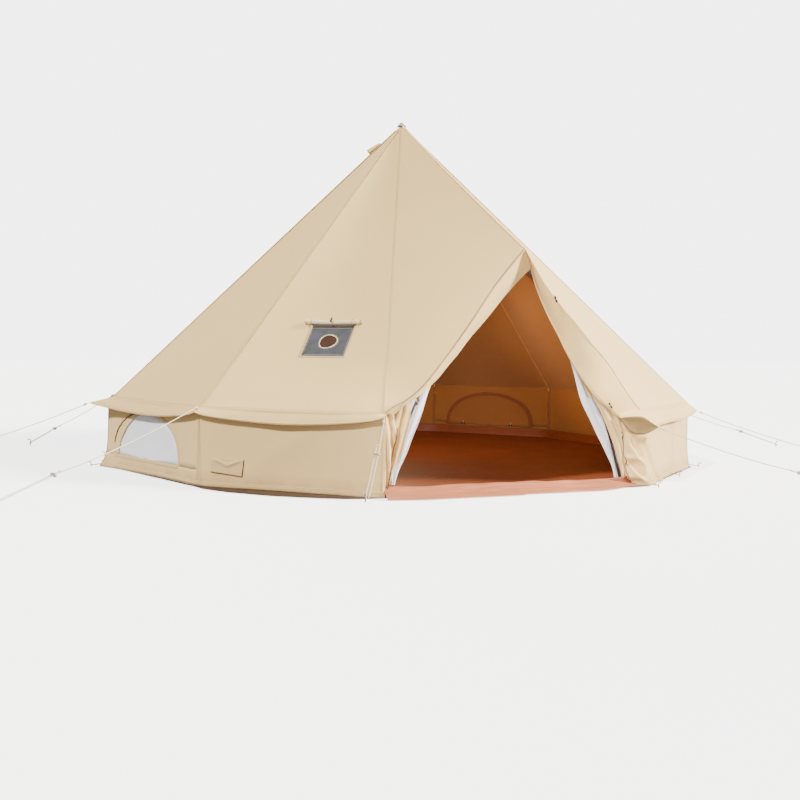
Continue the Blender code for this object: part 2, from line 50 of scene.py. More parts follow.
# The frame's driving dimensions, repeated in metres
WALL_RADIUS = 2.50
EAVE = 0.55
CONE_HEIGHT = 2.935
GORES = 10
DOOR_BAY = math.radians(47.2)
GORE_ANGLE = (2 * PI - DOOR_BAY) / GORES
CROWN_RADIUS = 0.035
SLOPE = (CONE_HEIGHT - EAVE) / WALL_RADIUS
TIP = (2.62, 0.50)
TIPS = {0: (2.55, 0.53), 1: (2.56, 0.515), 2: (2.68, 0.505), 9: (2.59, 0.475), 10: (2.64, 0.435)}
HOOD_END = Vector((0.0, -2.30, 1.67))
FLOOR = 0.003
SILL = 0.112
WINDOWS = {1: "left_front", 3: "left_rear", 6: "right_rear", 8: "right_front"}
SHIFTS = {1: -0.07}


# ---------------------------------------------------------------- geometry of the frame
def at_azimuth(angle, radius, height):
    return Vector((-radius * math.sin(angle), -radius * math.cos(angle), height))


def corner_angle(k):
    return DOOR_BAY / 2 + k * GORE_ANGLE


def corner(k, height=0.0, radius=WALL_RADIUS):
    return at_azimuth(corner_angle(k), radius, height)


def bay_frame(k, height=0.0):
    """X to the right from outside, Y inwards, Z up, from the foot of bay k's middle."""
    a, b = corner(k), corner(k + 1)
    x = (a - b).normalized()
    y = UP.cross(x)
    return Matrix.Translation((a + b) / 2 + UP * height) @ Matrix((x, y, UP)).transposed().to_4x4()


def hem_tip(k, out=0.0, drop=0.0):
    radius, height = TIPS.get(k, TIP)
    return at_azimuth(corner_angle(k), radius + out, height - drop)


def gore_frame(k, across, height):
    """X to the right from outside, Y into the tent, Z up the slope, at a height on gore k."""
    a, b = corner(k, EAVE), corner(k + 1, EAVE)
    x = (a - b).normalized()
    middle = (a + b) / 2
    z = (Vector((0, 0, CONE_HEIGHT)) - middle).normalized()
    y = z.cross(x)
    origin = middle + z * ((height - EAVE) / z.z) + x * across
    return Matrix.Translation(origin) @ Matrix((x, y, z)).transposed().to_4x4()


def lerp(a, b, t):
    return a + (b - a) * t


def smooth(t):
    t = min(1.0, max(0.0, t))
    return t * t * (3 - 2 * t)


def grid(point, rows, columns):
    """Rows of points from point(r, c), with r and c running from 0 to 1."""
    return [[point(r / rows, c / columns) for c in range(columns + 1)] for r in range(rows + 1)]


def polyline(points, share):
    """The point at a share of a polyline's length."""
    lengths = [(b - a).length for a, b in zip(points, points[1:])]
    left = share * sum(lengths)
    for (a, b), length in zip(zip(points, points[1:]), lengths):
        if left <= length:
            return lerp(a, b, left / length if length else 0)
        left -= length
    return points[-1].copy()


def rounded(points, step):
    """A smooth line through the points, with a point about every step."""
    made = []
    ends = [points[0] * 2 - points[1], *points, points[-1] * 2 - points[-2]]
    for p0, p1, p2, p3 in zip(ends, ends[1:], ends[2:], ends[3:]):
        count = max(1, round((p2 - p1).length / step))
        t0, t1 = 0.0, max(1e-6, (p1 - p0).length ** 0.5)
        t2 = t1 + (p2 - p1).length ** 0.5
        t3 = t2 + max(1e-6, (p3 - p2).length ** 0.5)
        for i in range(count):
            t = t1 + (t2 - t1) * i / count
            a1 = lerp(p0, p1, (t - t0) / (t1 - t0))
            a2 = lerp(p1, p2, (t - t1) / (t2 - t1))
            a3 = lerp(p2, p3, (t - t2) / (t3 - t2))
            b1 = lerp(a1, a2, (t - t0) / (t2 - t0))
            b2 = lerp(a2, a3, (t - t1) / (t3 - t1))
            made.append(lerp(b1, b2, (t - t1) / (t2 - t1)))
    return made + [points[-1].copy()]


def wave(p, size, seed=0.0):
    """Smooth noise from -1 to 1 with features of a size in metres."""
    return noise.noise(Vector((p[0] / size + seed, p[1] / size - seed, p[2] / size + 2 * seed)))


# ---------------------------------------------------------------- camera
camera = bpy.data.objects.new("camera", bpy.data.cameras.new("camera"))
bpy.context.scene.collection.objects.link(camera)
camera.data.sensor_width = 36
camera.data.lens = 45.563
camera.data.clip_end = 200
look_right = Vector((0.928137, -0.371932, 0.015124))
look_up = Vector((0.007572, 0.059486, 0.998200))
look_back = look_right.cross(look_up)
turned = Matrix((look_right, look_up, look_back)).transposed().to_4x4()
camera.matrix_world = Matrix.Translation((-3.36679, -8.43976, 1.02421)) @ turned
bpy.context.scene.camera = camera


# ---------------------------------------------------------------- materials
def srgb(red, green, blue):
    def one(c):
        c /= 255
        return c / 12.92 if c <= 0.04045 else ((c + 0.055) / 1.055) ** 2.4
    return (one(red), one(green), one(blue), 1.0)


def scaled(colour, factor):
    return (*(min(1.0, c * factor) for c in colour[:3]), 1.0)


class Look:
    """A node material on one Principled shader."""

    def __init__(self, name, roughness=0.9, metallic=0.0, sheen=0.0):
        self.material = bpy.data.materials.new(name)
        self.material.use_nodes = True
        self.tree = self.material.node_tree
        self.shader = self.tree.nodes["Principled BSDF"]
        self.shader.inputs["Roughness"].default_value = roughness
        self.shader.inputs["Metallic"].default_value = metallic
        self.shader.inputs["Sheen Weight"].default_value = sheen
        self.shader.inputs["Sheen Roughness"].default_value = 0.6
        self.coords = self.node("ShaderNodeTexCoord")
        self.place = self.coords.outputs["Object"]
        self.cloth = self.coords.outputs["UV"]

    def node(self, kind, **values):
        made = self.tree.nodes.new(kind)
        for key, value in values.items():
            if key in made.inputs:
                made.inputs[key].default_value = value
            else:
                setattr(made, key, value)
        return made

    def join(self, start, end):
        self.tree.links.new(start, end)

    def noise(self, scale, detail=4.0, where=None, stretch=None, rough=0.55):
        texture = self.node("ShaderNodeTexNoise", Scale=scale, Detail=detail, Roughness=rough)
        source = where or self.place
        if stretch:
            mapping = self.node("ShaderNodeMapping", Scale=stretch)
            self.join(source, mapping.inputs["Vector"])
            source = mapping.outputs["Vector"]
        self.join(source, texture.inputs["Vector"])
        return texture.outputs["Fac"]

    def ramp(self, source, stops):
        made = self.node("ShaderNodeValToRGB")
        elements = made.color_ramp.elements
        while len(elements) < len(stops):
            elements.new(0.5)
        for element, (position, colour) in zip(elements, stops):
            element.position = position
            element.color = colour
        self.join(source, made.inputs["Fac"])
        return made.outputs["Color"]

    def mottle(self, source, colour, low, high, ends=(0.3, 0.7)):
        """A colour that wanders between two brightnesses."""
        return self.ramp(source, [(ends[0], scaled(colour, low)), (ends[1], scaled(colour, high))])

    def mix(self, share, a, b, blend="MIX"):
        made = self.node("ShaderNodeMix", data_type="RGBA", blend_type=blend)
        for value, slot_name in ((share, 0), (a, 6), (b, 7)):
            if isinstance(value, (float, int, tuple)):
                made.inputs[slot_name].default_value = value
            else:
                self.join(value, made.inputs[slot_name])
        return made.outputs[2]

    def maths(self, operation, a, b=0.0):
        made = self.node("ShaderNodeMath", operation=operation)
        for value, index in ((a, 0), (b, 1)):
            if isinstance(value, (float, int)):
                made.inputs[index].default_value = value
            else:
                self.join(value, made.inputs[index])
        return made.outputs[0]

    def stripes(self, pitch, direction="X", where=None):
        texture = self.node(
            "ShaderNodeTexWave", Scale=2 * PI / (20 * pitch), bands_direction=direction, wave_profile="SIN"
        )
        self.join(where or self.cloth, texture.inputs["Vector"])
        return texture.outputs["Fac"]

    def bump(self, height, distance, strength=1.0):
        made = self.node("ShaderNodeBump", Distance=distance, Strength=strength)
        self.join(height, made.inputs["Height"])
        if self.shader.inputs["Normal"].is_linked:
            self.join(self.shader.inputs["Normal"].links[0].from_socket, made.inputs["Normal"])
        self.join(made.outputs["Normal"], self.shader.inputs["Normal"])

    def colour(self, socket):
        self.join(socket, self.shader.inputs["Base Color"])

    def rough(self, source, low, high):
        made = self.node("ShaderNodeMapRange")
        made.inputs["To Min"].default_value = low
        made.inputs["To Max"].default_value = high
        self.join(source, made.inputs["Value"])
        self.join(made.outputs["Result"], self.shader.inputs["Roughness"])


DIRT_TOP = 0.12
WEAVE = 0.0016
CLOTH_SHEEN = 0.15


def canvas_look(name, colour, dirt=None, crumple=0.004, vary=0.05):
    """Woven cotton canvas: cloudy tone, slubs along both threads, soft crumples, dust near the ground."""
    look = Look(name, roughness=0.9, sheen=CLOTH_SHEEN)
    clouds = look.noise(1.1, 5.0)
    tone = look.mottle(clouds, colour, 1 - vary, 1 + vary)
    slub = look.noise(1.0, 2.0, look.cloth, (30, 700, 1))
    slub_across = look.noise(1.0, 2.0, look.cloth, (700, 30, 1))
    threads = look.maths("ADD", slub, slub_across)
    thread_tone = look.mottle(look.maths("MULTIPLY", threads, 0.5), colour, 0.9, 1.08, (0.35, 0.65))
    tone = look.mix(0.35, tone, thread_tone)
    if dirt:
        split = look.node("ShaderNodeSeparateXYZ")
        look.join(look.place, split.inputs[0])
        rise = look.node("ShaderNodeMapRange")
        rise.inputs["From Max"].default_value = DIRT_TOP
        rise.inputs["To Min"].default_value = 1.0
        rise.inputs["To Max"].default_value = 0.0
        look.join(split.outputs["Z"], rise.inputs["Value"])
        patchy = look.maths("MULTIPLY", rise.outputs["Result"], look.noise(9.0, 5.0))
        tone = look.mix(patchy, tone, dirt)
    look.colour(tone)
    look.rough(clouds, 0.84, 0.95)
    look.bump(look.noise(7.0, 4.0), crumple, 0.5)
    woven = look.maths("MULTIPLY", look.stripes(WEAVE, "X"), look.stripes(WEAVE, "Y"))
    look.bump(woven, 0.0004, 0.35)
    return look.material


def tape_look(name, colour, stitch, width):
    """A folded seam or binding with two rows of lockstitch, running along V."""
    look = Look(name, roughness=0.88, sheen=CLOTH_SHEEN)
    tone = look.mottle(look.noise(20.0, 4.0), colour, 0.93, 1.05)
    split = look.node("ShaderNodeSeparateXYZ")
    look.join(look.cloth, split.inputs[0])
    away = look.maths("SUBTRACT", look.maths("ABSOLUTE", split.outputs["X"]), width * 0.34)
    row = look.maths("LESS_THAN", look.maths("ABSOLUTE", away), 0.0009)
    dash = look.maths("GREATER_THAN", look.stripes(0.006, "Y"), 0.25)
    thread = look.maths("MULTIPLY", row, dash)
    look.colour(look.mix(thread, tone, stitch))
    look.bump(look.noise(60.0, 3.0), 0.0012, 0.4)
    look.bump(thread, 0.0009, 0.8)
    return look.material


NET_PITCH = 0.0022


def net_look(name, colour):
    """Fine insect net: two crossed rows of threads, opaque, with the threads raised."""
    look = Look(name, roughness=0.75, sheen=0.3)
    threads = look.maths("MAXIMUM", look.stripes(NET_PITCH, "X"), look.stripes(NET_PITCH, "Y"))
    tone = look.mottle(threads, colour, 0.84, 1.06, (0.35, 0.8))
    soft = look.mottle(look.noise(5.0, 3.0), colour, 0.93, 1.0)
    look.colour(look.mix(0.55, tone, soft))
    look.bump(threads, 0.0004, 0.5)
    look.bump(look.noise(14.0, 3.0), 0.002, 0.4)
    return look.material


CREAM = srgb(236, 199, 128)
# Painted glow: the inner colours below are orange-brown, standing in for daylight shining through the cream
# canvas, not the cloth's own colour.
PAINTED_GLOW_INSIDE = srgb(168, 110, 52)
canvas = canvas_look("canvas_outside", CREAM)
canvas_in_painted_glow = canvas_look("canvas_inside_painted_glow", PAINTED_GLOW_INSIDE, crumple=0.003, vary=0.08)
wall_out = canvas_look("wall_canvas_outside", srgb(238, 200, 134), dirt=srgb(150, 112, 72), vary=0.05)
# Painted glow: the wall's and the window covers' inner colours stand in for light shining through the canvas.
wall_in_painted_glow = canvas_look("wall_canvas_inside_painted_glow", srgb(160, 103, 48), crumple=0.003, vary=0.08)
cover_painted_glow = canvas_look("cover_canvas", srgb(152, 96, 45), vary=0.08)
leaf_cloth = canvas_look("door_canvas", srgb(226, 190, 128), dirt=srgb(150, 110, 70))
seam_tape = tape_look("seam_tape", srgb(228, 190, 120), srgb(176, 146, 100), 0.024)
# Painted glow: the inner seam tape is tinted orange-brown for light shining through the canvas.
seam_in_painted_glow = tape_look("seam_tape_inside_painted_glow", srgb(200, 142, 80), srgb(110, 66, 30), 0.024)
wall_tape = tape_look("wall_tape", srgb(236, 198, 132), srgb(184, 150, 104), 0.020)
# Painted shade: a darker copy of the canvas colour, for cloth seen in shadow, used on the turned-up valance end
# and the elbow pocket.
painted_shade_cloth = canvas_look("canvas_painted_shade", srgb(158, 128, 76), crumple=0.003)
hem_tape = tape_look("hem_tape", srgb(230, 196, 134), srgb(170, 140, 98), 0.020)
band_brown = tape_look("zip_cover_band", srgb(136, 76, 38), srgb(96, 52, 24), 0.030)
net = net_look("insect_net", srgb(250, 248, 255))


RIPSTOP_PITCH = 0.005


def sheet_floor_look(name, colour):
    """Coated ripstop groundsheet: low sheen, a faint grid, a film of dust."""
    look = Look(name, roughness=0.5)
    base = look.mottle(look.noise(1.6, 6.0), colour, 0.85, 1.15)
    dust = look.maths("MULTIPLY", look.noise(4.0, 6.0, rough=0.7), 0.22)
    look.colour(look.mix(dust, base, scaled(colour, 1.5)))
    look.rough(look.noise(3.0, 5.0), 0.42, 0.72)
    ripstop = look.maths("MAXIMUM", *(look.stripes(RIPSTOP_PITCH, axis, look.place) for axis in "XY"))
    look.bump(look.noise(10.0, 4.0), 0.003, 0.4)
    look.bump(ripstop, 0.0003, 0.25)
    return look.material


groundsheet_look = sheet_floor_look("groundsheet_brown", srgb(132, 66, 32))
apron_look = sheet_floor_look("groundsheet_apron", srgb(46, 25, 16))
sill_look = sheet_floor_look("door_sill", srgb(164, 100, 68))


def metal_look(name, colour, roughness=0.35):
    look = Look(name, roughness=roughness, metallic=1.0)
    spots = look.node("ShaderNodeTexVoronoi", Scale=90.0)
    look.join(look.place, spots.inputs["Vector"])
    look.colour(look.mottle(spots.outputs["Distance"], colour, 0.86, 1.06, (0.1, 0.7)))
    look.rough(look.noise(60.0, 4.0), roughness - 0.08, roughness + 0.15)
    look.bump(look.noise(300.0, 3.0), 0.0002, 0.3)
    return look.material


def plain_look(name, colour, roughness, grain=80.0, depth=0.0006, vary=0.1):
    """Moulded rubber, plastic, wood or cord: mottled tone and grain."""
    look = Look(name, roughness=roughness)
    look.colour(look.mottle(look.noise(grain * 0.4, 4.0), colour, 1 - vary, 1 + vary))
    look.rough(look.noise(grain * 0.6, 3.0), max(0.05, roughness - 0.1), min(1.0, roughness + 0.1))
    look.bump(look.noise(grain * 3, 3.0), depth, 0.5)
    return look.material


def silicone_look(name):
    """Marbled heat-proof silicone: grey clouds with green and violet casts."""
    look = Look(name, roughness=0.5)
    base = look.ramp(look.noise(11.0, 6.0, rough=0.65), [(0.35, srgb(50, 62, 66)), (0.65, srgb(78, 84, 84))])
    cast = look.ramp(look.noise(7.0, 4.0), [(0.38, srgb(80, 68, 90)), (0.62, srgb(56, 66, 44))])
    look.colour(look.mix(0.55, base, cast))
    look.rough(look.noise(30.0, 4.0), 0.42, 0.62)
    look.bump(look.noise(18.0, 4.0), 0.002, 0.5)
    look.bump(look.noise(160.0, 3.0), 0.0004, 0.4)
    return look.material


steel = metal_look("galvanised_steel", srgb(176, 178, 182))
frame_steel = metal_look("door_frame_steel", srgb(104, 96, 88), 0.5)
rubber = plain_look("black_rubber", srgb(34, 33, 32), 0.7)
crown_look = plain_look("crown_webbing", srgb(150, 144, 136), 0.8, grain=60.0)
wood = plain_look("dark_toggle_wood", srgb(58, 36, 24), 0.55, grain=120.0, vary=0.25)
rope_look = plain_look("cotton_rope", srgb(228, 214, 188), 0.85, grain=500.0, depth=0.0005, vary=0.08)
tie_look = plain_look("canvas_tie", srgb(206, 184, 146), 0.88, grain=300.0, depth=0.0005)
slider_look = plain_look("slider_plastic", srgb(196, 182, 158), 0.45, grain=200.0)
zip_look = plain_look("zip_teeth", srgb(84, 64, 44), 0.5, grain=400.0, depth=0.001)
# Painted shade: dark brown standing in for the dark inside of the flue hole and of the vents' mouths.
hole_painted_shade = plain_look("hole_painted_shade_brown", srgb(58, 27, 0), 0.8, grain=40.0, vary=0.35)
silicone = silicone_look("mottled_silicone")
ring_look = plain_look("stove_ring_cord", srgb(252, 236, 190), 0.8, grain=200.0)


# ---------------------------------------------------------------- mesh tools
def link(name, mesh, looks):
    made = bpy.data.objects.new(name, mesh)
    bpy.context.scene.collection.objects.link(made)
    for look in looks:
        mesh.materials.append(look)
    return made


def surface(name, grids, looks, body="tent", thick=0.0, weld=True):
    """A cloth through grids of rows of points, with UVs in metres, thickened if asked.

    A second look goes on its inner side. A piece made with no body is left unattached here.
    """
    bm = bmesh.new()
    uv = bm.loops.layers.uv.new("UVMap")
    for rows in grids:
        verts = [[bm.verts.new(p) for p in row] for row in rows]
        across = []
        for row in rows:
            run = [0.0]
            for a, b in zip(row, row[1:]):
                run.append(run[-1] + (b - a).length)
            across.append([value - run[-1] / 2 for value in run])
        down = [0.0]
        middle = len(rows[0]) // 2
        for a, b in zip(rows, rows[1:]):
            down.append(down[-1] + (b[middle] - a[middle]).length)
        for r in range(len(rows) - 1):
            for c in range(len(rows[0]) - 1):
                corners = [(r, c), (r, c + 1), (r + 1, c + 1), (r + 1, c)]
                face = bm.faces.new([verts[i][j] for i, j in corners])
                for loop, (i, j) in zip(face.loops, corners):
                    loop[uv].uv = (across[i][j], down[i])
    if weld:
        bmesh.ops.remove_doubles(bm, verts=bm.verts, dist=0.0002)
    bmesh.ops.dissolve_degenerate(bm, edges=bm.edges, dist=0.00005)
    mesh = bpy.data.meshes.new(name)
    bm.to_mesh(mesh)
    bm.free()
    mesh.shade_smooth()
    made = link(name, mesh, looks)
    if thick:
        skin = made.modifiers.new("cloth", "SOLIDIFY")
        skin.thickness = thick
        skin.offset = -1
        skin.material_offset = 1 if len(looks) > 1 else 0
        skin.use_rim = True
    if body:
        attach(made, body)
    return made


def tube_mesh(bm, line, radius, sides, lobes=0, lobe_depth=0.0, pitch=1.0):
    """Sweeps a ring along a line; lobes twist round it as rope strands do."""
    uv = bm.loops.layers.uv.verify()
    direction = (line[1] - line[0]).normalized()
    side = direction.orthogonal().normalized()
    rings = []
    run = 0.0
    runs = []
    for i, p in enumerate(line):
        ahead = (line[min(i + 1, len(line) - 1)] - line[max(i - 1, 0)]).normalized()
        side = (side - ahead * side.dot(ahead)).normalized()
        other = ahead.cross(side)
        if i:
            run += (p - line[i - 1]).length
        runs.append(run)
        ring = []
        r = radius[i] if isinstance(radius, list) else radius
        for s in range(sides):
            angle = 2 * PI * s / sides
            reach = r
            if lobes:
                reach = r * (1 + lobe_depth * (math.cos(lobes * (angle - 2 * PI * run / pitch)) - 1) / 2)
            around = side * (reach * math.cos(angle)) + other * (reach * math.sin(angle))
            ring.append(bm.verts.new(p + around))
        rings.append(ring)
    for r, (low, high) in enumerate(zip(rings, rings[1:])):
        for s in range(sides):
            n = (s + 1) % sides
            face = bm.faces.new((low[s], low[n], high[n], high[s]))
            for loop, (u, v) in zip(face.loops, ((s, r), (s + 1, r), (s + 1, r + 1), (s, r + 1))):
                loop[uv].uv = (u / sides * 0.02, runs[v])
    bm.faces.new(rings[0][::-1])
    bm.faces.new(rings[-1])


def finish_mesh(name, bm, looks, body, soft_angle=50):
    bmesh.ops.recalc_face_normals(bm, faces=bm.faces)
    mesh = bpy.data.meshes.new(name)
    bm.to_mesh(mesh)
    bm.free()
    mesh.shade_smooth()
    mesh.set_sharp_from_angle(angle=math.radians(soft_angle))
    made = link(name, mesh, looks)
    if body:
        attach(made, body)
    return made


def tubes(name, lines, radius, look, body="tent", sides=8, **shape):
    bm = bmesh.new()
    for line in lines:
        tube_mesh(bm, line, radius, sides, **shape)
    return finish_mesh(name, bm, [look], body)


TAPE_PROFILE = ((-1.0, 0.0), (-0.97, 0.8), (-0.8, 1.0), (0.0, 1.15), (0.8, 1.0), (0.97, 0.8), (1.0, 0.0))


def strip_rows(line, normals, width, lift, thickness):
    """The rounded cross-sections of a tape lying on a surface along a line."""
    rows = []
    for i, p in enumerate(line):
        ahead = (line[min(i + 1, len(line) - 1)] - line[max(i - 1, 0)]).normalized()
        n = normals[i]
        side = ahead.cross(n).normalized()
        half = width / 2
        rows.append([p + side * (half * x) + n * (lift + thickness * y) for x, y in TAPE_PROFILE])
    return rows


def tapes(name, lines, width, thickness, look, body="tent", lift=0.0):
    """Raised tapes: each line is (points, outward normals)."""
    grids = [strip_rows(line, normals, width, lift, thickness) for line, normals in lines]
    return surface(name, grids, [look], body, weld=False)


def zip_teeth(name, lines, radius):
    """A run of zip teeth, as a thin twisted two-lobed rod."""
    return tubes(name, lines, radius, zip_look, sides=6, lobes=2, lobe_depth=0.4, pitch=0.012)


# ---------------------------------------------------------------- guy ropes, first
ROPE = 0.007
SPREAD = 0.026
TAIL = 0.05
ROPE_SAG = 0.02
PEG_FRONT = 4.1
PEG_BACK = 3.45
PEG_TURNS = {1: math.radians(2.5)}
ROPE_STARTS = {1: (2.516, 0.553)}
RIGHT_DOOR_PEG = (math.radians(325), 3.85)
LEFT_DOOR_PEG = Vector((-1.17, -2.436, 0.0))
ROPE_START = (0.010, 0.004)
ROPE_END_RISE = 0.022
SLIDER_SHARE = 0.70
SLIDER_SHARE_SHORT = 0.45
SLIDER_STRAIGHT = 0.03
HITCH = (0.012, 0.022, 0.0062)
HITCH_STEPS = 36


def guy_layout(k):
    """Rope k: its start, its end at the peg, its direction, its sideways direction, its slider's share."""
    start = at_azimuth(corner_angle(k), *ROPE_STARTS[k]) if k in ROPE_STARTS else hem_tip(k, *ROPE_START)
    if k == 0:
        peg = LEFT_DOOR_PEG.copy()
    elif k == GORES:
        peg = at_azimuth(*RIGHT_DOOR_PEG, 0.0)
    else:
        turn = corner_angle(k) + PEG_TURNS.get(k, 0.0)
        peg = at_azimuth(turn, PEG_BACK if 3 <= k <= GORES - 3 else PEG_FRONT, 0.0)
    end = peg + UP * ROPE_END_RISE
    along = (end - start).normalized()
    across = UP.cross(along).normalized()
    return start, end, along, across, SLIDER_SHARE_SHORT if k == 0 else SLIDER_SHARE


def rope_route(k):
    """The rope's points: eave, slider, round the peg, back through the slider, and a short tail."""
    start, end, along, across, share = guy_layout(k)
    length = (end - start).length
    half = across * (SPREAD / 2)
    slider = start + (end - start) * share
    points = [start]
    for step in (0.25, 0.5, 0.75):
        sag = UP * (-ROPE_SAG * 4 * step * (1 - step) * length * share)
        points.append(start + (slider + half - start) * step + sag)
    straight = along * SLIDER_STRAIGHT
    points += [slider + half - straight, slider + half + straight]
    bend = end - along * (SPREAD / 2)
    for step in (0.5, 1.0):
        points.append(slider + half + straight + (bend - slider - straight) * step)
    for angle in (30, 60, 90, 120, 150):
        turn = math.radians(angle)
        points.append(bend + half * math.cos(turn) + along * (SPREAD / 2 * math.sin(turn)))
    for step in (1.0, 0.5):
        points.append(slider - half + straight + (bend - slider - straight) * step)
    return points + [slider - half + straight, slider - half - along * TAIL]


def knot_line(centre, along, across, size):
    """A small overhand knot as a closed trefoil."""
    other = along.cross(across)
    made = []
    for i in range(49):
        t = 2 * PI * i / 48
        x = math.sin(t) + 2 * math.sin(2 * t)
        y = math.cos(t) - 2 * math.cos(2 * t)
        z = -math.sin(3 * t)
        made.append(centre + (along * x + across * y + other * z * 1.1) * (size / 3))
    return made


for k in range(GORES + 1):
    number = f"{k + 1:02d}"
    start, end, along, across, share = guy_layout(k)
    line = rounded(rope_route(k), 0.008)
    bm = bmesh.new()
    tube_mesh(bm, line, ROPE / 2, sides=9, lobes=3, lobe_depth=0.22, pitch=0.034)
    rope = finish_mesh("guy_rope_visual_" + number, bm, [rope_look], "tent", 70)
    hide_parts("guy_rope_" + number)
    tail = line[-1]
    knotted = knot_line(tail - along * 0.004, along, across, 0.0075)
    knot = tubes("guy_knot_" + number, [knotted], 0.0031, rope_look, sides=6)
    hitch = []
    for i in range(HITCH_STEPS + 1):
        turn = i / HITCH_STEPS * 8 * PI
        around = across * math.cos(turn) + along.cross(across) * math.sin(turn)
        hitch.append(start + along * (HITCH[0] + HITCH[1] * i / HITCH_STEPS) + around * HITCH[2])
    hitch_piece = tubes("guy_hitch_" + number, [hitch], 0.0030, rope_look, sides=6)
    for kind, look in (("guy_slider_", slider_look), ("guy_peg_", steel)):
        node = NODES[kind + number]
        node.data.materials.clear()
        node.data.materials.append(look)


# ---------------------------------------------------------------- roof
def xz(points, y):
    return [Vector((x, y, z)) for x, z in points]


LEFT_CREASE = rounded([HOOD_END, *xz(((-0.217, 1.413), (-0.409, 1.139), (-0.578, 0.917), (-0.755, 0.710),
                       (-0.86, 0.632), (-0.945, 0.592)), -2.295), corner(0, EAVE)], 0.03)
RIGHT_CREASE = rounded([HOOD_END, *xz(((0.177, 1.426), (0.300, 1.290), (0.417, 1.177), (0.560, 1.032),
                        (0.697, 0.898), (0.820, 0.741), (0.935, 0.605)), -2.295), corner(GORES, EAVE)], 0.03)
LEFT_HEM = rounded([*xz(((0.128, 1.550), (-0.076, 1.353), (-0.224, 1.183), (-0.423, 0.960)), -2.17),
                    Vector((-0.632, -2.23, 0.755)),
                    *xz(((-0.784, 0.657), (-0.859, 0.608), (-0.955, 0.535)), -2.290)], 0.03)
RIGHT_HEM = rounded([*xz(((0.128, 1.550), (0.176, 1.404), (0.267, 1.219), (0.358, 1.070)), -2.17),
                     Vector((0.418, -2.19, 0.945)), Vector((0.520, -2.24, 0.768)),
                     *xz(((0.623, 0.625), (0.711, 0.560), (0.797, 0.500), (0.880, 0.500)), -2.290)], 0.03)
RIDGE_SLOPE = (CONE_HEIGHT - HOOD_END.z) / -HOOD_END.y
RIDGE_TOP = Vector((0, -CROWN_RADIUS, CONE_HEIGHT - RIDGE_SLOPE * CROWN_RADIUS))
RIDGE_SHARE = 0.70
APEX = Vector((0, 0, CONE_HEIGHT))
GORE_DIP = 0.030
HOOD_DIP = 0.028
CLOTH = 0.0022


def crown(k):
    return at_azimuth(corner_angle(k), CROWN_RADIUS, CONE_HEIGHT - SLOPE * CROWN_RADIUS)


def seam_point(k, v):
    """A point on the seam of corner k, from the crown to the eave."""
    return lerp(crown(k), corner(k, EAVE), v)


def gore_normal(k):
    n = (corner(k, EAVE) - APEX).cross(corner(k + 1, EAVE) - APEX)
    return n.normalized() if n.z > 0 else -n.normalized()


def cloth_noise(p, long_axis, amount=0.006):
    """Soft folds drawn out along a direction, and small crumples on them."""
    flat = p - long_axis * (p.dot(long_axis) * 0.75)
    return amount * wave(flat, 0.35, 3.1) + amount * 0.35 * wave(p, 0.11, 7.7)


def roof_point(k, u, v):
    """Gore k: u across from corner k to k+1, v down from the crown; it dips between its seams."""
    a, b = seam_point(k, v), seam_point(k + 1, v)
    p = lerp(a, b, u)
    middle = 4 * u * (1 - u)
    dip = GORE_DIP * middle * math.sin(PI * (v * 1.05 if v < 0.95 else 0.9975)) ** 0.8
    down = (corner(k, EAVE) + corner(k + 1, EAVE)) / 2 - APEX
    rough = cloth_noise(p, down.normalized()) * min(1.0, middle * 1.6) * min(1.0, v * 4)
    near = min(u, 1 - u)
    pucker = 0.0022 * math.sin(v * 150 + k) * math.exp(-near * v * 30) * smooth(v * 3) * smooth(near * 25)
    return p + gore_normal(k) * (rough - dip + pucker)


def ridge_point(side, t):
    """The hood's outer edge: along the ridge to its end, then down the crease."""
    if t < RIDGE_SHARE:
        p = lerp(RIDGE_TOP, HOOD_END, t / RIDGE_SHARE)
        return p - UP * (0.012 * math.sin(PI * t / RIDGE_SHARE))
    return polyline(LEFT_CREASE if side < 0 else RIGHT_CREASE, (t - RIDGE_SHARE) / (1 - RIDGE_SHARE))


def hood_point(side, s, t):
    """The front gore: s from the seam of the door corner to the hood's edge, t down."""
    a = seam_point(0 if side < 0 else GORES, t)
    b = ridge_point(side, t)
    p = lerp(a, b, s)
    n = Vector((side * 0.62, -0.42, 0.66)).normalized()
    middle = 4 * s * (1 - s)
    dip = HOOD_DIP * middle * math.sin(PI * t)
    down = Vector((side * 0.35, -0.6, -0.6)).normalized()
    rough = cloth_noise(p, down) * min(1.0, middle * 1.6) * min(1.0, t * 4)
    return p + n * (rough - dip)


HEM_MIDDLE = {0: 0.455, 1: 0.452, 9: 0.430}
USUAL_HEM_MIDDLE = 0.447


def valance_point(k, u, w):
    """The valance below the eave of gore k: w from the eave to the hem."""
    top = roof_point(k, u, 1.0)
    a, b = hem_tip(k), hem_tip(k + 1)
    low = lerp(a, b, u)
    middle = 4 * u * (1 - u)
    out = Vector((low.x, low.y, 0)).normalized()
    slack = middle ** 0.7
    low = lerp(low, top + out * 0.062, slack * 0.75)
    low.z = lerp(lerp(a.z, b.z, u), HEM_MIDDLE.get(k, USUAL_HEM_MIDDLE), slack)
    low += out * (0.010 * wave(low, 0.33, 1.3) * min(1.0, middle * 2))
    low.z += 0.005 * wave(low, 0.4, 5.5) * min(1.0, middle * 2)
    p = lerp(top, low, w)
    return p + out * (0.006 * math.sin(PI * w))


def hem_strip_point(side, q, w):
    """The turned-in strip of the hood: w down the crease, q from the crease to its free edge."""
    a = polyline(LEFT_CREASE if side < 0 else RIGHT_CREASE, w)
    b = polyline(LEFT_HEM if side < 0 else RIGHT_HEM, w)
    p = lerp(a, b, q)
    bulge = Vector((-side * 0.5, -0.8, -0.3)).normalized()
    amount = 0.014 * math.sin(PI * q) * smooth(w * 6) * smooth((1 - w) * 5)
    ripple = 0.007 * wave(p, 0.13, 9.0) * smooth(q * 2) * smooth(w * 8)
    return p + bulge * (amount + ripple)


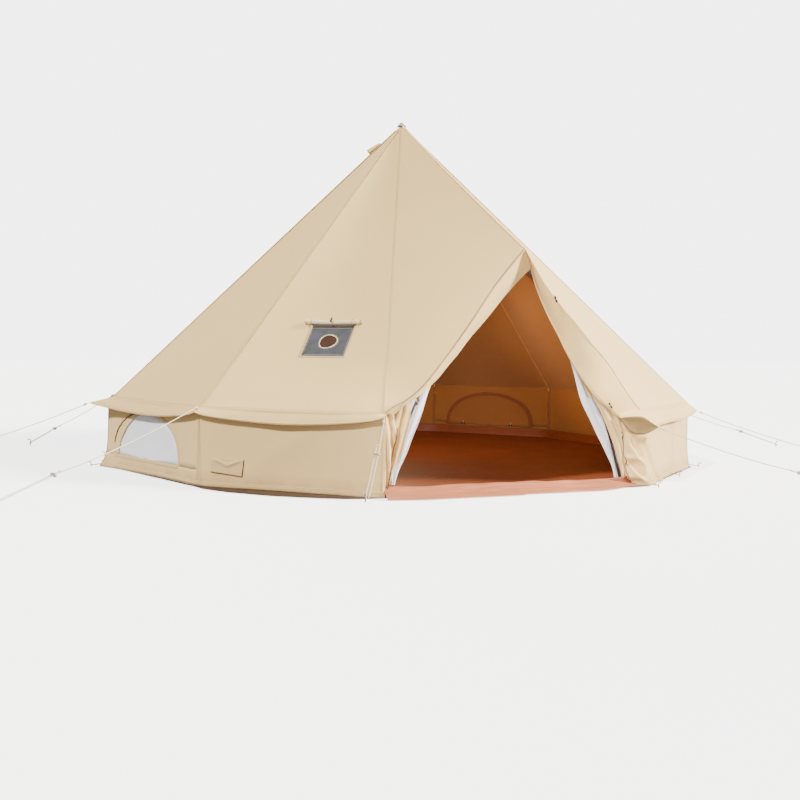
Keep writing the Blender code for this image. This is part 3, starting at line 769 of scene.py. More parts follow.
roof_grids = []
for k in range(GORES):
    roof_grids.append(grid(lambda v, u: roof_point(k, u, v), 72, 24))
    roof_grids.append(grid(lambda w, u: valance_point(k, u, w), 5, 24))
for side in (-1, 1):
    for rows in (grid(lambda t, s: hood_point(side, s, t), 72, 24),
                 grid(lambda w, q: hem_strip_point(side, q, w), 60, 8)):
        roof_grids.append([row[::-1] for row in rows] if side < 0 else rows)
roof = surface("roof_canvas_visual", roof_grids, [canvas, canvas_in_painted_glow], thick=0.0025)
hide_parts("roof_canvas")


def grid_line(point, count, normal):
    """A line for tapes: its points, and the same normal at each."""
    return [point(i / count) for i in range(count + 1)], [normal] * (count + 1)


def roof_seam_lines(top, run, inside):
    """The roof's seams from a share below the crown, with normals to the outside or the inside."""
    lines = []
    for k in range(GORES + 1):
        n = at_azimuth(corner_angle(k), 1.0, 1 / SLOPE).normalized() * (-1 if inside else 1)
        lines.append(grid_line(lambda v: seam_point(k, top + run * v), 50, n))
    return lines


tapes("roof_seams", roof_seam_lines(0.01, 0.99, False), 0.024, 0.0016, seam_tape, lift=0.0004)
tapes("roof_seams_inside", roof_seam_lines(0.03, 0.965, True), 0.026, 0.0018, seam_in_painted_glow, lift=0.0030)
ridge_line = grid_line(lambda t: ridge_point(-1, t * RIDGE_SHARE * 0.995), 40, Vector((0, -0.48, 0.88)))
tapes("hood_ridge_seam", [ridge_line], 0.024, 0.0018, seam_tape, lift=0.0004)
crease_lines = []
for side in (-1, 1):
    n = Vector((side * 0.55, -0.75, 0.35)).normalized()
    crease_lines.append(grid_line(lambda w: hem_strip_point(side, 0.02, w), 50, n))
tapes("hood_zip_bands", crease_lines[:1], 0.020, 0.003, seam_tape, lift=0.0005)
tapes("hood_crease_right", crease_lines[1:], 0.010, 0.0006, hem_tape, lift=0.0002)
zip_lines = [[p + n * 0.0042 for p, n in zip(*line)] for line in crease_lines]
zip_teeth("hood_zips", zip_lines[:1], 0.0036)
eaves = []
hems = []
for k in range(GORES):
    n = ((corner(k) + corner(k + 1)) / 2).normalized()
    tilt = (n + UP * 0.75).normalized()
    eaves.append(grid_line(lambda u: valance_point(k, u, 0.02), 24, tilt))
    hems.append(grid_line(lambda u: valance_point(k, u, 0.86), 24, (n * 0.8 + UP * 0.6).normalized()))
tapes("eave_seam", eaves, 0.018, 0.0010, seam_tape, lift=0.0003)
tapes("valance_hem", hems, 0.016, 0.0010, hem_tape, lift=0.0004)
inner_hems = []
for side in (-1, 1):
    n = Vector((-side * 0.5, -0.85, -0.2)).normalized()
    inner_hems.append(grid_line(lambda w: hem_strip_point(side, 0.93, w), 50, n))
tapes("hood_hem", inner_hems, 0.018, 0.0014, hem_tape, lift=0.0006)

# ---------------------------------------------------------------- wall
HALF_BAY = (corner(0) - corner(1)).length / 2
WALL_TOP = 0.545
WALL_FOOT = FLOOR + 0.001
WINDOW_W = 0.96
WINDOW_H = 0.345


def arch(grow, angle):
    """The window's outline at an angle from 0 (right foot) to pi (left foot), as (x, z) above the sill."""
    return (WINDOW_W / 2 + grow) * math.cos(angle), (WINDOW_H + grow) * math.sin(angle) ** 0.8


def window_mask(k, x, z):
    """1 away from a window and 0 on it."""
    if k not in WINDOWS:
        return 1.0
    dx, dz = abs(x - SHIFTS.get(k, 0.0)) / (WINDOW_W / 2 + 0.06), (z - SILL + 0.02) / (WINDOW_H + 0.06)
    return smooth((math.hypot(dx, max(dz, 0.0)) - 1.0) * 5)


# How far the wall's foot is kicked out, and the wall stands out, at the corners that differ from the usual
FOOT_KICK = {1: 0.004, 2: 0.062, 9: 0.020}
USUAL_FOOT_KICK = 0.045
STAND_OUT = {2: 0.030}
USUAL_STAND_OUT = 0.010
# Creases that run down from the right door corner: height there, fall per metre along the wall,
# length along the wall, depth; and on the narrow wall beside the door: height, rise per metre, depth
WALL_CREASES = ((0.400, 1.08, 0.42, 0.042), (0.200, 1.15, 0.18, 0.026), (0.064, 1.08, 0.07, 0.018))
STUB_CREASES = ((0.200, 1.30, 0.022), (0.064, 1.08, 0.022))


def crease(rise, slope, deep):
    """A pressed fold's section at a height above its line: a narrow groove with a rounded lip below it."""
    d = rise / math.hypot(1.0, slope)
    return deep * (0.9 * math.exp(-((d + 0.030) / 0.024) ** 2) - math.exp(-(d / 0.014) ** 2))


def at_corners(table, usual, k, x):
    """A value given at the corners, for a place in bay k."""
    return lerp(table.get(k + 1, usual), table.get(k, usual), 0.5 + x / HALF_BAY / 2)


def wall_out_at(k, x, z):
    """How far the wall's cloth stands outside the line of its posts."""
    ends = smooth(min(1.0, (HALF_BAY - abs(x)) / 0.10))
    low = 1 - z / WALL_TOP
    strength = {0: 1.3, 9: 1.1}.get(k, 1.0)
    slant = x * (1 if k == 9 else -0.6) + z * (1.3 if k == 9 else 0.7)
    folds = 0.5 + 0.5 * wave(Vector((slant, k * 3.0, z * 0.25)), 0.17, 2.2)
    wide = 0.5 + 0.5 * wave(Vector((x, k * 5.0, z * 0.6)), 0.45, 4.4)
    loose = (0.011 * strength * folds ** 2 + 0.014 * wide) * ends * window_mask(k, x, z) * (0.4 + low)
    kick = at_corners(FOOT_KICK, USUAL_FOOT_KICK, k, x) * low ** 7 * (0.35 + 0.65 * (abs(x) / HALF_BAY) ** 2)
    drawn = 0.0
    if k == GORES - 1:
        along = x + HALF_BAY
        for height, fall, length, deep in WALL_CREASES:
            drawn += crease(z - height + fall * along, fall, deep * smooth((1.25 - along / length) * 2))
        drawn *= smooth((WALL_TOP - z) / 0.12)
    return loose + at_corners(STAND_OUT, USUAL_STAND_OUT, k, x) + kick + 0.010 * low + drawn


def wall_point(k, x, z, out=0.0):
    """The outside of the wall in bay k, loose between its corners and kicked out at its foot."""
    end = corner(k) if x > 0 else corner(k + 1)
    middle = ((corner(k) + corner(k + 1)) / 2).normalized()
    radial = end.normalized() / middle.dot(end.normalized())
    direction = lerp(middle, radial, (abs(x) / HALF_BAY) ** 4)
    return bay_frame(k, z) @ Vector((x, 0, 0)) + direction * (wall_out_at(k, x, z) + out)


def wall_rows(k):
    """Bay k's cloth as grids of points: one for a plain bay, a ring round the window and a strip below it."""
    def flat_rows(top, low, rows):
        return grid(lambda r, c: wall_point(k, HALF_BAY * (1 - 2 * c), top + (low - top) * r), rows, 48)

    if k not in WINDOWS:
        return [flat_rows(WALL_FOOT + WALL_TOP - FLOOR, WALL_FOOT, 64)]
    shift = SHIFTS.get(k, 0.0)

    def around_window(t, share):
        angle = PI * share
        ax, az = arch(0.0, angle)
        c, s = math.cos(angle), math.sin(angle)
        side_reach = (HALF_BAY - shift * (1 if c > 0 else -1)) / max(abs(c), 1e-6)
        reach = min(side_reach, (WALL_TOP - SILL) / max(s, 1e-6))
        return wall_point(k, shift + lerp(ax, reach * c, t), SILL + lerp(az, reach * s, t))

    return [grid(around_window, 8, 48)[::-1], flat_rows(SILL, WALL_FOOT, 5)]


wall_grids = []
for k in range(GORES):
    wall_grids += wall_rows(k)
DOOR_EDGES = {-1: (0.890, 0.985), 1: (0.795, 0.905)}


def stub_point(side, share, z):
    """The narrow wall from a door corner to the door's edge, gathered in slanting folds."""
    low = 1 - z / WALL_TOP
    end = corner(0 if side < 0 else GORES)
    bay = 0 if side < 0 else GORES - 1
    base = wall_point(bay, HALF_BAY if side < 0 else -HALF_BAY, z)
    edge = Vector((side * lerp(*DOOR_EDGES[side], low), end.y + 0.020, z))
    p = lerp(base, edge, share)
    across = share * (base - edge).length
    tucked = Vector((0, 0.030, 0)) * (smooth((z - 0.42) / 0.10) * min(1.0, share * 2.5))
    if side < 0:
        fold = 0.030 * (0.5 + 0.5 * math.sin(across * 95 + z * 14)) ** 1.6 * smooth(share * 2)
    else:
        fold = 0.0
        for height, rise, deep in STUB_CREASES:
            fold += crease(z - height - rise * across, rise, deep) - crease(z - height, rise, deep)
        fold *= smooth((WALL_TOP - z) / 0.12)
    return p + tucked + Vector((side * 0.1, -1, 0)) * fold


for side in (-1, 1):
    rows = grid(lambda r, c: stub_point(side, c, WALL_FOOT + (WALL_TOP - FLOOR) * (1 - r)), 64, 20)
    wall_grids.append([row[::-1] for row in rows] if side < 0 else rows)
wall = surface("wall_canvas_visual", wall_grids, [wall_out, wall_in_painted_glow], thick=CLOTH)
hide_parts("wall_canvas")

# The door's zips stand along the free edges of the narrow walls
DOOR_ZIP = 0.46
ZIP_FORWARD = Vector((0, -0.006, 0))
door_zips = [grid_line(lambda t: stub_point(side, 0.96, FLOOR + 0.02 + DOOR_ZIP * t) + ZIP_FORWARD, 40, UP)[0]
             for side in (-1, 1)]
zip_teeth("door_zips", door_zips, 0.0050)

window_trim = []
window_zip = []


def on_window(k, x, z, out=0.0):
    """A point on the wall's cloth, from the foot of window k's middle."""
    return wall_point(k, SHIFTS.get(k, 0.0) + x, SILL + z, out)


for k, side in WINDOWS.items():
    outward = -(bay_frame(k).to_3x3() @ Vector((0, 1, 0)))
    line = [on_window(k, *arch(0.012, PI * i / 40)) for i in range(41)]
    window_trim.append((line, [outward] * 41))
    sill_line = [on_window(k, (WINDOW_W / 2 - 0.005) * (1 - i / 10), -0.008) for i in range(21)]
    window_trim.append((sill_line, [outward] * 21))
    zip_line = [on_window(k, *arch(0.006, PI * i / 48), 0.0046) for i in range(49)]
    window_zip.append(zip_line[26:46] if side == "left_front" else zip_line)
tapes("window_binding", window_trim, 0.026, 0.002, hem_tape, lift=0.001)
zip_teeth("window_zips", window_zip, 0.0055)


def net_point(k, share, i):
    """A point of window k's net: share from the middle of its foot to its edge, i along the arch."""
    ax, az = arch(0.002, PI * i)
    sag = 0.008 * math.sin(PI * share) + 0.002 * wave(Vector((ax * share, k, az * share)), 0.08, 1.0)
    return on_window(k, ax * share, az * share - 0.002, -0.002 - sag)


for k, side in WINDOWS.items():
    rows = grid(lambda share, i: net_point(k, share, i), 12, 36)
    pane = surface("window_net_" + side, [rows[::-1]], [net], thick=0.0006)
    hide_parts("window_mesh_" + side)

# Left of its top, the left front window's net starts inside its zip, behind a strip of wall cloth
STRIP_WIDTH = 0.072
STRIP_FROM = 84


def zip_strip_point(r, i):
    angle = math.radians(lerp(STRIP_FROM, 180, i))
    inset = -STRIP_WIDTH * smooth((angle - math.radians(STRIP_FROM)) / 1.2) * r
    return on_window(1, *arch(inset, angle), 0.0012)


strip = surface("window_zip_strip", [grid(zip_strip_point, 6, 32)[::-1]], [wall_out], thick=0.0012)

# Upright seams of the wall
upright = []
for k in range(GORES):
    places = ([] if k == 1 else [HALF_BAY]) + ([0.16] if k == 9 else [])
    for x in places:
        n = (corner(k) if x == HALF_BAY else (corner(k) + corner(k + 1)) / 2).normalized()
        line = [wall_point(k, x, FLOOR + 0.004 + (WALL_TOP - 0.012) * i / 24) for i in range(25)]
        upright.append((line, [n] * 25))
tapes("wall_seams", upright, 0.018, 0.0007, wall_tape, lift=0.0003)
foot = []
for k in range(GORES):
    n = (corner(k) + corner(k + 1)).normalized()
    foot.append(([wall_point(k, HALF_BAY * (1 - i / 24), 0.026) for i in range(49)], [n] * 49))
tapes("wall_foot_hem", foot, 0.026, 0.0008, wall_tape, lift=0.0003)

# Short loops at the wall's foot, each with a small peg
WALL_PEG = ((0.0, 0.001), (0.0, 0.030), (0.004, 0.038), (0.012, 0.041), (0.022, 0.035))
WALL_PEG_REACH = 0.075
loops = []
pegs = []
for k in range(2, GORES + 1):
    for x in ((HALF_BAY, 0.0) if k < GORES else (HALF_BAY,)):
        last = k == GORES
        bay = GORES - 1 if last else k
        at = -HALF_BAY if last else x
        p = wall_point(bay, at, 0.022, 0.003)
        n = (corner(k) if abs(x) > 0 else corner(k) + corner(k + 1)).normalized()
        along = UP.cross(n)
        peg = p + n * WALL_PEG_REACH
        peg.z = 0.0
        low = Vector((peg.x, peg.y, 0.016))
        half_way = p + n * 0.035 - UP * 0.004
        loops.append(rounded([p + along * 0.010, half_way + along * 0.009, low + along * 0.007, low + n * 0.008,
                              low - along * 0.007, half_way - along * 0.009, p - along * 0.010], 0.006))
        pegs.append(rounded([peg + n * reach + UP * rise for reach, rise in WALL_PEG], 0.006))
tubes("wall_peg_loops", loops, 0.0024, tie_look, sides=6)
tubes("wall_pegs", pegs, 0.0032, steel, sides=8)

# ---------------------------------------------------------------- window covers, inside
COVER_OVERLAP = 0.02
COVER_OPEN = math.radians(100)
HINGE_DEPTH = 0.0108


def cover_point(hinge, k, share, i):
    """A point of window k's cover: share from the middle of its foot to its edge, i along the arch."""
    ax, az = arch(COVER_OVERLAP, PI * i)
    loose = 0.010 * wave(Vector((ax * share, k * 2.0, az * share)), 0.16, 6.0)
    loose *= smooth(share * 3) * (1 - share * 0.7)
    return hinge @ Vector((ax * share, abs(loose) + 0.001, 0.002 + az * share))


for k, side in WINDOWS.items():
    hinge = bay_frame(k, SILL - 0.010) @ Matrix.Translation((SHIFTS.get(k, 0.0), HINGE_DEPTH, 0))
    if side == "left_front":
        hinge = hinge @ Matrix.Rotation(-COVER_OPEN, 4, "X")
    body = "window_cover_" + side
    rows = grid(lambda share, i: cover_point(hinge, k, share, i), 14, 40)
    cover = surface("window_cover_cloth_" + side, [rows], [cover_painted_glow], body=body, thick=CLOTH)
    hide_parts("window_cover_" + side)
    inward = (hinge.to_3x3() @ Vector((0, 1, 0))).normalized()
    outline = [arch(0.004, PI * i / 48) for i in range(49)]
    line = [hinge @ Vector((x, 0.003, z + 0.002)) for x, z in outline]
    band = tapes("window_cover_zip_" + side, [(line, [inward] * 49)], 0.034, 0.003, band_brown, body, 0.001)

# ---------------------------------------------------------------- groundsheet
RING = [corner(k) for k in range(GORES + 1)]
LIP = ((0.0145, 0.006), (0.0132, 0.02), (0.0130, 0.045), (0.0128, 0.070), (0.0126, 0.088))
DOOR_LIP_SHARE = 0.058 / 0.088
SHEETING = 0.0015


def ring_point(k, u, inset):
    """A point along the wall's foot in bay k (bay 10 is the door), moved inwards."""
    a, b = RING[k], RING[(k + 1) % (GORES + 1)]
    n = -Vector(((a + b).x, (a + b).y, 0)).normalized()
    p = lerp(a, b, u)
    centre_pull = inset / math.cos(math.atan2((b - a).length / 2, ((a + b) / 2).length))
    q = p - p.normalized() * centre_pull
    return lerp(q, p + n * inset, 0.5)


def floor_height(p):
    return FLOOR + 0.0035 * (0.5 + 0.5 * wave(p, 0.45, 8.0)) + 0.0012 * (0.5 + 0.5 * wave(p, 0.12, 2.0))


around = [(k, i / 12) for k in range(GORES + 1) for i in range(12)] + [(0, 0.0)]
floor_rows = []
for r in range(25):
    share = r / 24
    row = []
    for k, u in around:
        p = ring_point(k, u, 0.016) * share
        row.append(Vector((p.x, p.y, floor_height(p) if share < 0.99 else WALL_FOOT)))
    floor_rows.append(row)
for inset, height in LIP:
    row = []
    for k, u in around:
        p = ring_point(k, u, inset)
        if k == GORES:
            top = lerp(height, height * DOOR_LIP_SHARE, smooth(min(u, 1 - u) * 8))
        else:
            top = height + (0.003 * wave(p, 0.2, 3.0) if height > 0.03 else 0)
        row.append(Vector((p.x, p.y, top)))
    floor_rows.append(row)
floor = surface("groundsheet_visual", [floor_rows[::-1]], [groundsheet_look], thick=SHEETING)
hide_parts("groundsheet")

# How far the apron reaches out from the wall's foot at the middle of the bays that differ from the usual
REACH = {0: 0.24, GORES: 0.10}
USUAL_REACH = 0.058
apron_rows = []
for r in range(7):
    share = r / 6
    row = []
    for k, u in around:
        middle = 4 * u * (1 - u)
        reach = USUAL_REACH + (REACH.get(k, USUAL_REACH) - USUAL_REACH) * middle ** 0.7
        p = ring_point(k, u, lerp(0.010, -reach, share))
        lift = 0.0022 + 0.010 * (0.5 + 0.5 * wave(p, 0.11, 6.1)) * share * (1.4 - share)
        row.append(Vector((p.x, p.y, lift)))
    apron_rows.append(row)
apron = surface("groundsheet_apron", [apron_rows], [apron_look], thick=SHEETING)

SILL_PROFILE = rounded([Vector((x, 0, z)) for x, z in (
    (-0.128, 0.004), (-0.126, 0.010), (-0.105, 0.018), (-0.07, 0.030), (-0.035, 0.045), (-0.008, 0.057),
    (0.010, 0.062), (0.022, 0.058), (0.030, 0.045), (0.036, 0.022), (0.045, 0.007), (0.075, 0.0055))], 0.006)
SILL_LINE = -2.291
sill_rows = []
for i in range(121):
    u = i / 120
    row = []
    middle = smooth(min(u, 1 - u) * 7)
    for out, _, height in SILL_PROFILE:
        reach = lerp(1.25, 1.55, middle) if u < 0.5 else lerp(0.30, 1.35, smooth((1 - u) * 5))
        y = SILL_LINE + (out * reach if out < 0 else out)
        x = lerp(-1.005 + 0.25 * min(0.0, out), 0.955, u)
        p = Vector((x, y, 0))
        wrinkle = 0.006 * wave(Vector((x, y * 3, 0)), 0.14, 4.2) * (height / 0.06)
        wrinkle += 0.009 * wave(Vector((x * 0.25, y * 2, height)), 0.05, 1.7) * min(1.0, height / 0.03)
        rise = lerp(1.15, 1.0, middle) if u < 0.5 else lerp(0.35, 1.0, smooth((1 - u) * 6))
        row.append(Vector((x, y - abs(wrinkle) * 0.4, max(0.003, height * rise + wrinkle * min(1.0, rise)))))
    sill_rows.append(row)
sill = surface("door_sill", [sill_rows], [sill_look])

# ---------------------------------------------------------------- door leaves
def leaf(name, side, inner, outer, depth, fold, pleats, look, thick):
    """A gathered leaf between two edges, each (x, z) from its top down; x counts from the door's middle.

    It has no body and is left unattached.
    """
    inner, outer = (rounded([Vector((x, 0, z)) for x, z in edge], 0.02) for edge in (inner, outer))
    count = pleats * 16
    rows = []
    for r in range(41):
        a, b = polyline(inner, r / 40), polyline(outer, r / 40)
        width = (b - a).length
        row = []
        for i in range(count + 1):
            q = i / count
            p = lerp(a, b, q)
            turn = 2 * PI * pleats * q + 2.2 * wave(Vector((q * 1.5, side * 2.0, p.z * 1.4)), 0.8, 5.0)
            uneven = 1 + 0.5 * wave(Vector((q * 2.0, side * 3.0, pleats)), 0.6, 1.0)
            x = p.x + math.sin(2 * turn) * width / pleats * 0.10
            y = depth + fold * uneven * min(1.0, width / 0.09) * math.cos(turn) + 0.006 * wave(p, 0.12, 2.0)
            row.append(Vector((side * x, y, p.z)))
        rows.append(row if side > 0 else row[::-1])
    return surface(name, [rows], [look], body=None, thick=thick)


# Each leaf's inner and outer edge, left then right
CANVAS_EDGES = {
    -1: (((0.795, 0.670), (0.811, 0.615), (0.812, 0.522), (0.842, 0.383), (0.888, 0.236), (0.925, 0.160),
          (0.950, 0.070), (0.953, 0.030)),
         ((0.895, 0.605), (0.905, 0.564), (0.935, 0.473), (0.961, 0.378), (0.985, 0.305), (0.992, 0.196),
          (0.987, 0.100), (0.980, 0.030))),
    1: (((0.560, 0.730), (0.600, 0.650), (0.660, 0.553), (0.767, 0.351), (0.838, 0.160), (0.858, 0.075),
         (0.862, 0.030)),
        ((0.700, 0.640), (0.750, 0.575), (0.829, 0.494), (0.886, 0.348), (0.902, 0.187), (0.913, 0.045),
         (0.915, 0.030)))}
NET_EDGES = {
    -1: (((0.560, 0.800), (0.618, 0.660), (0.681, 0.480), (0.720, 0.380), (0.775, 0.240), (0.822, 0.143),
          (0.849, 0.060), (0.852, 0.030)),
         ((0.660, 0.780), (0.740, 0.640), (0.800, 0.500), (0.840, 0.370), (0.875, 0.220), (0.885, 0.140),
          (0.880, 0.060), (0.876, 0.030))),
    1: (((0.485, 0.950), (0.525, 0.840), (0.585, 0.660), (0.620, 0.573), (0.678, 0.478), (0.806, 0.262),
         (0.888, 0.112), (0.905, 0.030)),
        ((0.515, 0.960), (0.600, 0.850), (0.730, 0.660), (0.800, 0.520), (0.860, 0.410), (0.925, 0.275),
         (0.950, 0.095), (0.952, 0.030)))}
for side, word in ((-1, "left"), (1, "right")):
    canvas_leaf = leaf("door_flap_cloth_" + word, side, *CANVAS_EDGES[side], -2.262, 0.013, 2,
                       leaf_cloth, 0.0018)
    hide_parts("door_flap_" + word)
    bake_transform(canvas_leaf)
    net_leaf = leaf("mesh_door_cloth_" + word, side, *NET_EDGES[side], -2.10, 0.010, 2, net, 0.0008)
    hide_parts("mesh_door_" + word)
    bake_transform(net_leaf)

# A sewn pocket holds the door frame's elbow; its darker canvas colour is painted shade.
pocket = rounded(xz(((-0.100, 1.566), (-0.045, 1.640), (0.0, 1.672), (0.045, 1.640), (0.100, 1.566),
                     (0.125, 1.530)), -2.14), 0.012)
tubes("door_apex_pocket", [pocket], 0.021, painted_shade_cloth, sides=14, lobes=3, lobe_depth=0.12, pitch=0.3)

# The upper part of each canvas leaf, rolled into the hood's fold above its tie
for side, word, points in ((-1, "left", ((-0.800, 0.690), (-0.680, 0.790), (-0.520, 0.960))),
                           (1, "right", ((0.640, 0.650), (0.555, 0.790), (0.465, 0.960)))):
    line = rounded(xz(points, -2.165), 0.02)
    radii = [0.020 * (1 - 0.55 * i / (len(line) - 1)) for i in range(len(line))]
    roll = tubes("door_leaf_roll_" + word, [line], radii, leaf_cloth,
                 sides=15, lobes=3, lobe_depth=0.35, pitch=0.5)

# ---------------------------------------------------------------- stove jack
JACK = gore_frame(0, 0.075, 1.024)
JACK_DOWN = JACK.to_3x3() @ Vector((0, 0, -1))


def on_gore(x, z, lift=0.0):
    """A point on gore 0's cloth, from x across and z up the slope in the stove jack's frame."""
    flat = JACK @ Vector((x, 0, z))
    a0, b0 = corner(0, EAVE), corner(1, EAVE)
    v = (APEX.z - flat.z) / (APEX.z - EAVE)
    a, b = lerp(APEX, a0, v), lerp(APEX, b0, v)
    u = (flat - a).dot(b - a) / (b - a).length_squared
    vv = (v * WALL_RADIUS - CROWN_RADIUS) / (WALL_RADIUS - CROWN_RADIUS)
    return roof_point(0, u, vv) + gore_normal(0) * lift


PANEL_STEPS = 16


def gore_panel(name, x0, x1, z0, z1, lift, thickness, look, soften=0.0):
    """A sewn-on panel that follows the gore's cloth, with a turned-down edge."""
    shares = [min(1.0, max(0.0, (i - 1) / PANEL_STEPS)) for i in range(PANEL_STEPS + 3)]
    ends = (0, PANEL_STEPS + 2)
    rows = []
    for r, t in enumerate(shares):
        row = []
        for c, q in enumerate(shares):
            x, z = lerp(x0, x1, q), lerp(z1, z0, t)
            wobble = soften * wave(Vector((x, z, 0)), 0.05, 3.0)
            row.append(on_gore(x, z, lift + (0 if r in ends or c in ends else thickness + wobble)))
        rows.append(row)
    return surface(name, [rows], [look], weld=False)


border_look = canvas_look("stove_border_canvas", srgb(206, 178, 128), crumple=0.002)
border = gore_panel("stove_jack_border", -0.180, 0.172, -0.165, 0.150, 0.0, 0.0012, border_look)
patch = gore_panel("stove_jack_patch_visual", -0.158, 0.160, -0.145, 0.158, 0.0010, 0.0022, silicone, 0.0006)
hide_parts("stove_jack_patch")
HOLE = (0.0, -0.002)
n0 = gore_normal(0)


def gore_ring(radius, lift):
    """A ring on the gore round the flue hole, a little drawn out to one side."""
    made = []
    for i in range(49):
        angle = 2 * PI * i / 48
        reach = radius * (0.93 + 0.07 * math.cos(angle - 0.5) + 0.03 * math.cos(3 * angle))
        made.append(on_gore(HOLE[0] + reach * math.cos(angle), HOLE[1] + reach * math.sin(angle), lift))
    return made


# The flue hole is closed by a dark brown disc: painted shade for the dark inside seen through the hole.
SHADE_DISC_PROFILE = ((0.001, 0.0008), (0.02, 0.0010), (0.045, 0.0), (0.062, 0.0004), (0.071, -0.0012))
SHADE_DISC_LIFT = 0.0042
shade_disc_rows = [gore_ring(radius, SHADE_DISC_LIFT + lift) for radius, lift in SHADE_DISC_PROFILE]
surface("stove_hole_shade_disc", [shade_disc_rows], [hole_painted_shade], weld=False)
tubes("stove_hole_ring", [gore_ring(0.072, SHADE_DISC_LIFT)], 0.0042, ring_look,
      sides=8, lobes=2, lobe_depth=0.3, pitch=0.02)
tubes("stove_hole_stitch", [gore_ring(0.083, 0.0038)], 0.0008, tie_look, sides=5)
edge_line = [(-0.15, -0.137), (0.152, -0.137), (0.152, 0.137), (-0.15, 0.137), (-0.15, -0.137)]
stitch = []
for (ax, az), (bx, bz) in zip(edge_line, edge_line[1:]):
    stitch += [on_gore(lerp(ax, bx, i / 12), lerp(az, bz, i / 12), 0.0038) for i in range(12)]
tubes("stove_patch_stitch", [stitch], 0.0008, tie_look, sides=5)

# The rain flap, rolled up over the patch and tied
SEAM_Z = 0.162
ROLL = 0.0185
ROLL_LENGTH = 0.43
ROLL_TURNS = 2.25


def roll_centre(x):
    """The middle of the roll at x, a little drooped between its ends."""
    droop = 0.006 * math.sin(PI * (x + 0.21) / 0.42)
    return on_gore(x - 0.012, SEAM_Z + 0.024 - droop, ROLL + 0.002)


roll_rows = []
for i in range(41):
    x = ROLL_LENGTH * (i / 40 - 0.5)
    centre = roll_centre(x)
    row = []
    slack = 1 + 0.10 * wave(Vector((x, 0, 0)), 0.05, 4.0)
    for a in range(65):
        turn = a / 64 * 2 * PI * ROLL_TURNS
        r = (0.0065 + 0.0120 * a / 64) * slack
        row.append(centre + n0 * (r * math.cos(turn + 2.4)) - JACK_DOWN * (r * math.sin(turn + 2.4)))
    roll_rows.append(row)
roll_cloth = canvas_look("rain_flap_canvas", srgb(240, 220, 178), crumple=0.002)
roll = surface("stove_jack_roll", [roll_rows], [roll_cloth], "stove_jack_flap", thick=0.0012, weld=False)
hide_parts("stove_jack_flap")


def ring_round(x, radius):
    """A tie's ring round the roll at x."""
    turns = [2 * PI * i / 28 for i in range(29)]
    return [roll_centre(x) + (n0 * math.cos(turn) + JACK_DOWN * math.sin(turn)) * radius for turn in turns]


# A dark strip along the patch's top edge, under the roll: painted shadow for the line of shade beneath the
# roll.
roll_shadow_line = [on_gore(lerp(-0.165, 0.168, i / 24), SEAM_Z + 0.004, 0.0) for i in range(25)]
tapes("stove_roll_shadow_strip", [(roll_shadow_line, [n0] * 25)], 0.012, 0.0024, zip_look, lift=0.0036)

ties = [ring_round(x, ROLL + 0.0035) for x in (-0.155, 0.0, 0.155)]
tubes("stove_roll_ties", ties, 0.0028, tie_look, "stove_jack_flap", sides=6)

TOGGLE_RADIUS = 0.0075
TOGGLE_SHAPE = ((-0.5, 0.45), (-0.46, 0.75), (-0.3, 1.0), (-0.1, 0.85), (0.0, 0.62), (0.1, 0.85), (0.3, 1.0),
                (0.46, 0.75), (0.5, 0.45))


def toggle(name, centre, direction, loop_to, body="tent", length=0.045):
    """A turned wooden toggle with a waist, hung on a short cord loop."""
    direction = direction.normalized()
    line = [centre + direction * (length * t) for t, _ in TOGGLE_SHAPE]
    tubes(name, [line], [TOGGLE_RADIUS * share for _, share in TOGGLE_SHAPE], wood, body, sides=12)
    side = direction.cross(UP if abs(direction.z) < 0.9 else Vector((1, 0, 0))).normalized()
    neck, waist = lerp(loop_to, centre, 0.6), side * (TOGGLE_RADIUS * 0.75)
    loop = rounded([loop_to, neck + side * 0.004, centre + waist,
                    centre + (centre - loop_to).normalized() * (TOGGLE_RADIUS * 0.8),
                    centre - waist, neck - side * 0.004, loop_to + side * 0.0005], 0.006)
    tubes(name + "_loop", [loop], 0.0020, tie_look, body, sides=6)


toggle("stove_toggle", roll_centre(0.0) + n0 * (ROLL + 0.012), JACK_DOWN + n0 * 0.1,
       roll_centre(0.0) + n0 * (ROLL + 0.002) - JACK_DOWN * 0.012, "stove_jack_flap")
loop_lines = []
for x in (-0.19, 0.19):
    a = on_gore(x, SEAM_Z + 0.020, 0.002)
    loop_lines.append(rounded([a, a + n0 * 0.014 - JACK_DOWN * 0.020, a + n0 * 0.024 + JACK_DOWN * 0.004,
                               a + n0 * 0.012 + JACK_DOWN * 0.030, a + JACK_DOWN * 0.028], 0.006))
tubes("stove_tie_loops", loop_lines, 0.0026, tie_look, sides=6)

# ---------------------------------------------------------------- cable port
PORT_X = -HALF_BAY + 0.228
PORT_WIDTH = 0.25
PORT_HEIGHT = 0.108
PORT_TOP = 0.205
PORT = bay_frame(0, PORT_TOP) @ Matrix.Translation((PORT_X, 0, 0))
rows = []
for r in range(19):
    t = r / 18
    row = []
    for c in range(37):
        q = c / 36 - 0.5
        x = q * PORT_WIDTH * (1 - 0.10 * t * (q > 0))
        vee = 0.45 * (1 - 2 * abs(q))
        z = -PORT_HEIGHT * t * (0.90 + 0.20 * (q + 0.5))
        fold = math.exp(-((t - vee) / 0.10) ** 2)
        bulge = 0.004 + 0.009 * fold * smooth(t * 5) + 0.002 * smooth(t)
        bulge += 0.003 * wave(Vector((x, z, 0)), 0.05, 1.0)
        on_wall = bay_frame(0).inverted() @ wall_point(0, PORT_X + x, PORT_TOP + z)
        row.append(PORT @ Vector((x, on_wall.y - bulge, z)))
    rows.append(row)
port = surface("cable_flap_cloth", [rows], [leaf_cloth], None, thick=0.0020)
piping = [rows[-1][c] for c in range(37)] + [rows[r][-1] for r in range(17, 2, -1)]
port_edge = tubes("cable_flap_piping", [rounded(piping, 0.01)], 0.0022, zip_look, None, sides=6)
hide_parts("cable_flap")
for piece in (port, port_edge):
    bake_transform(piece)

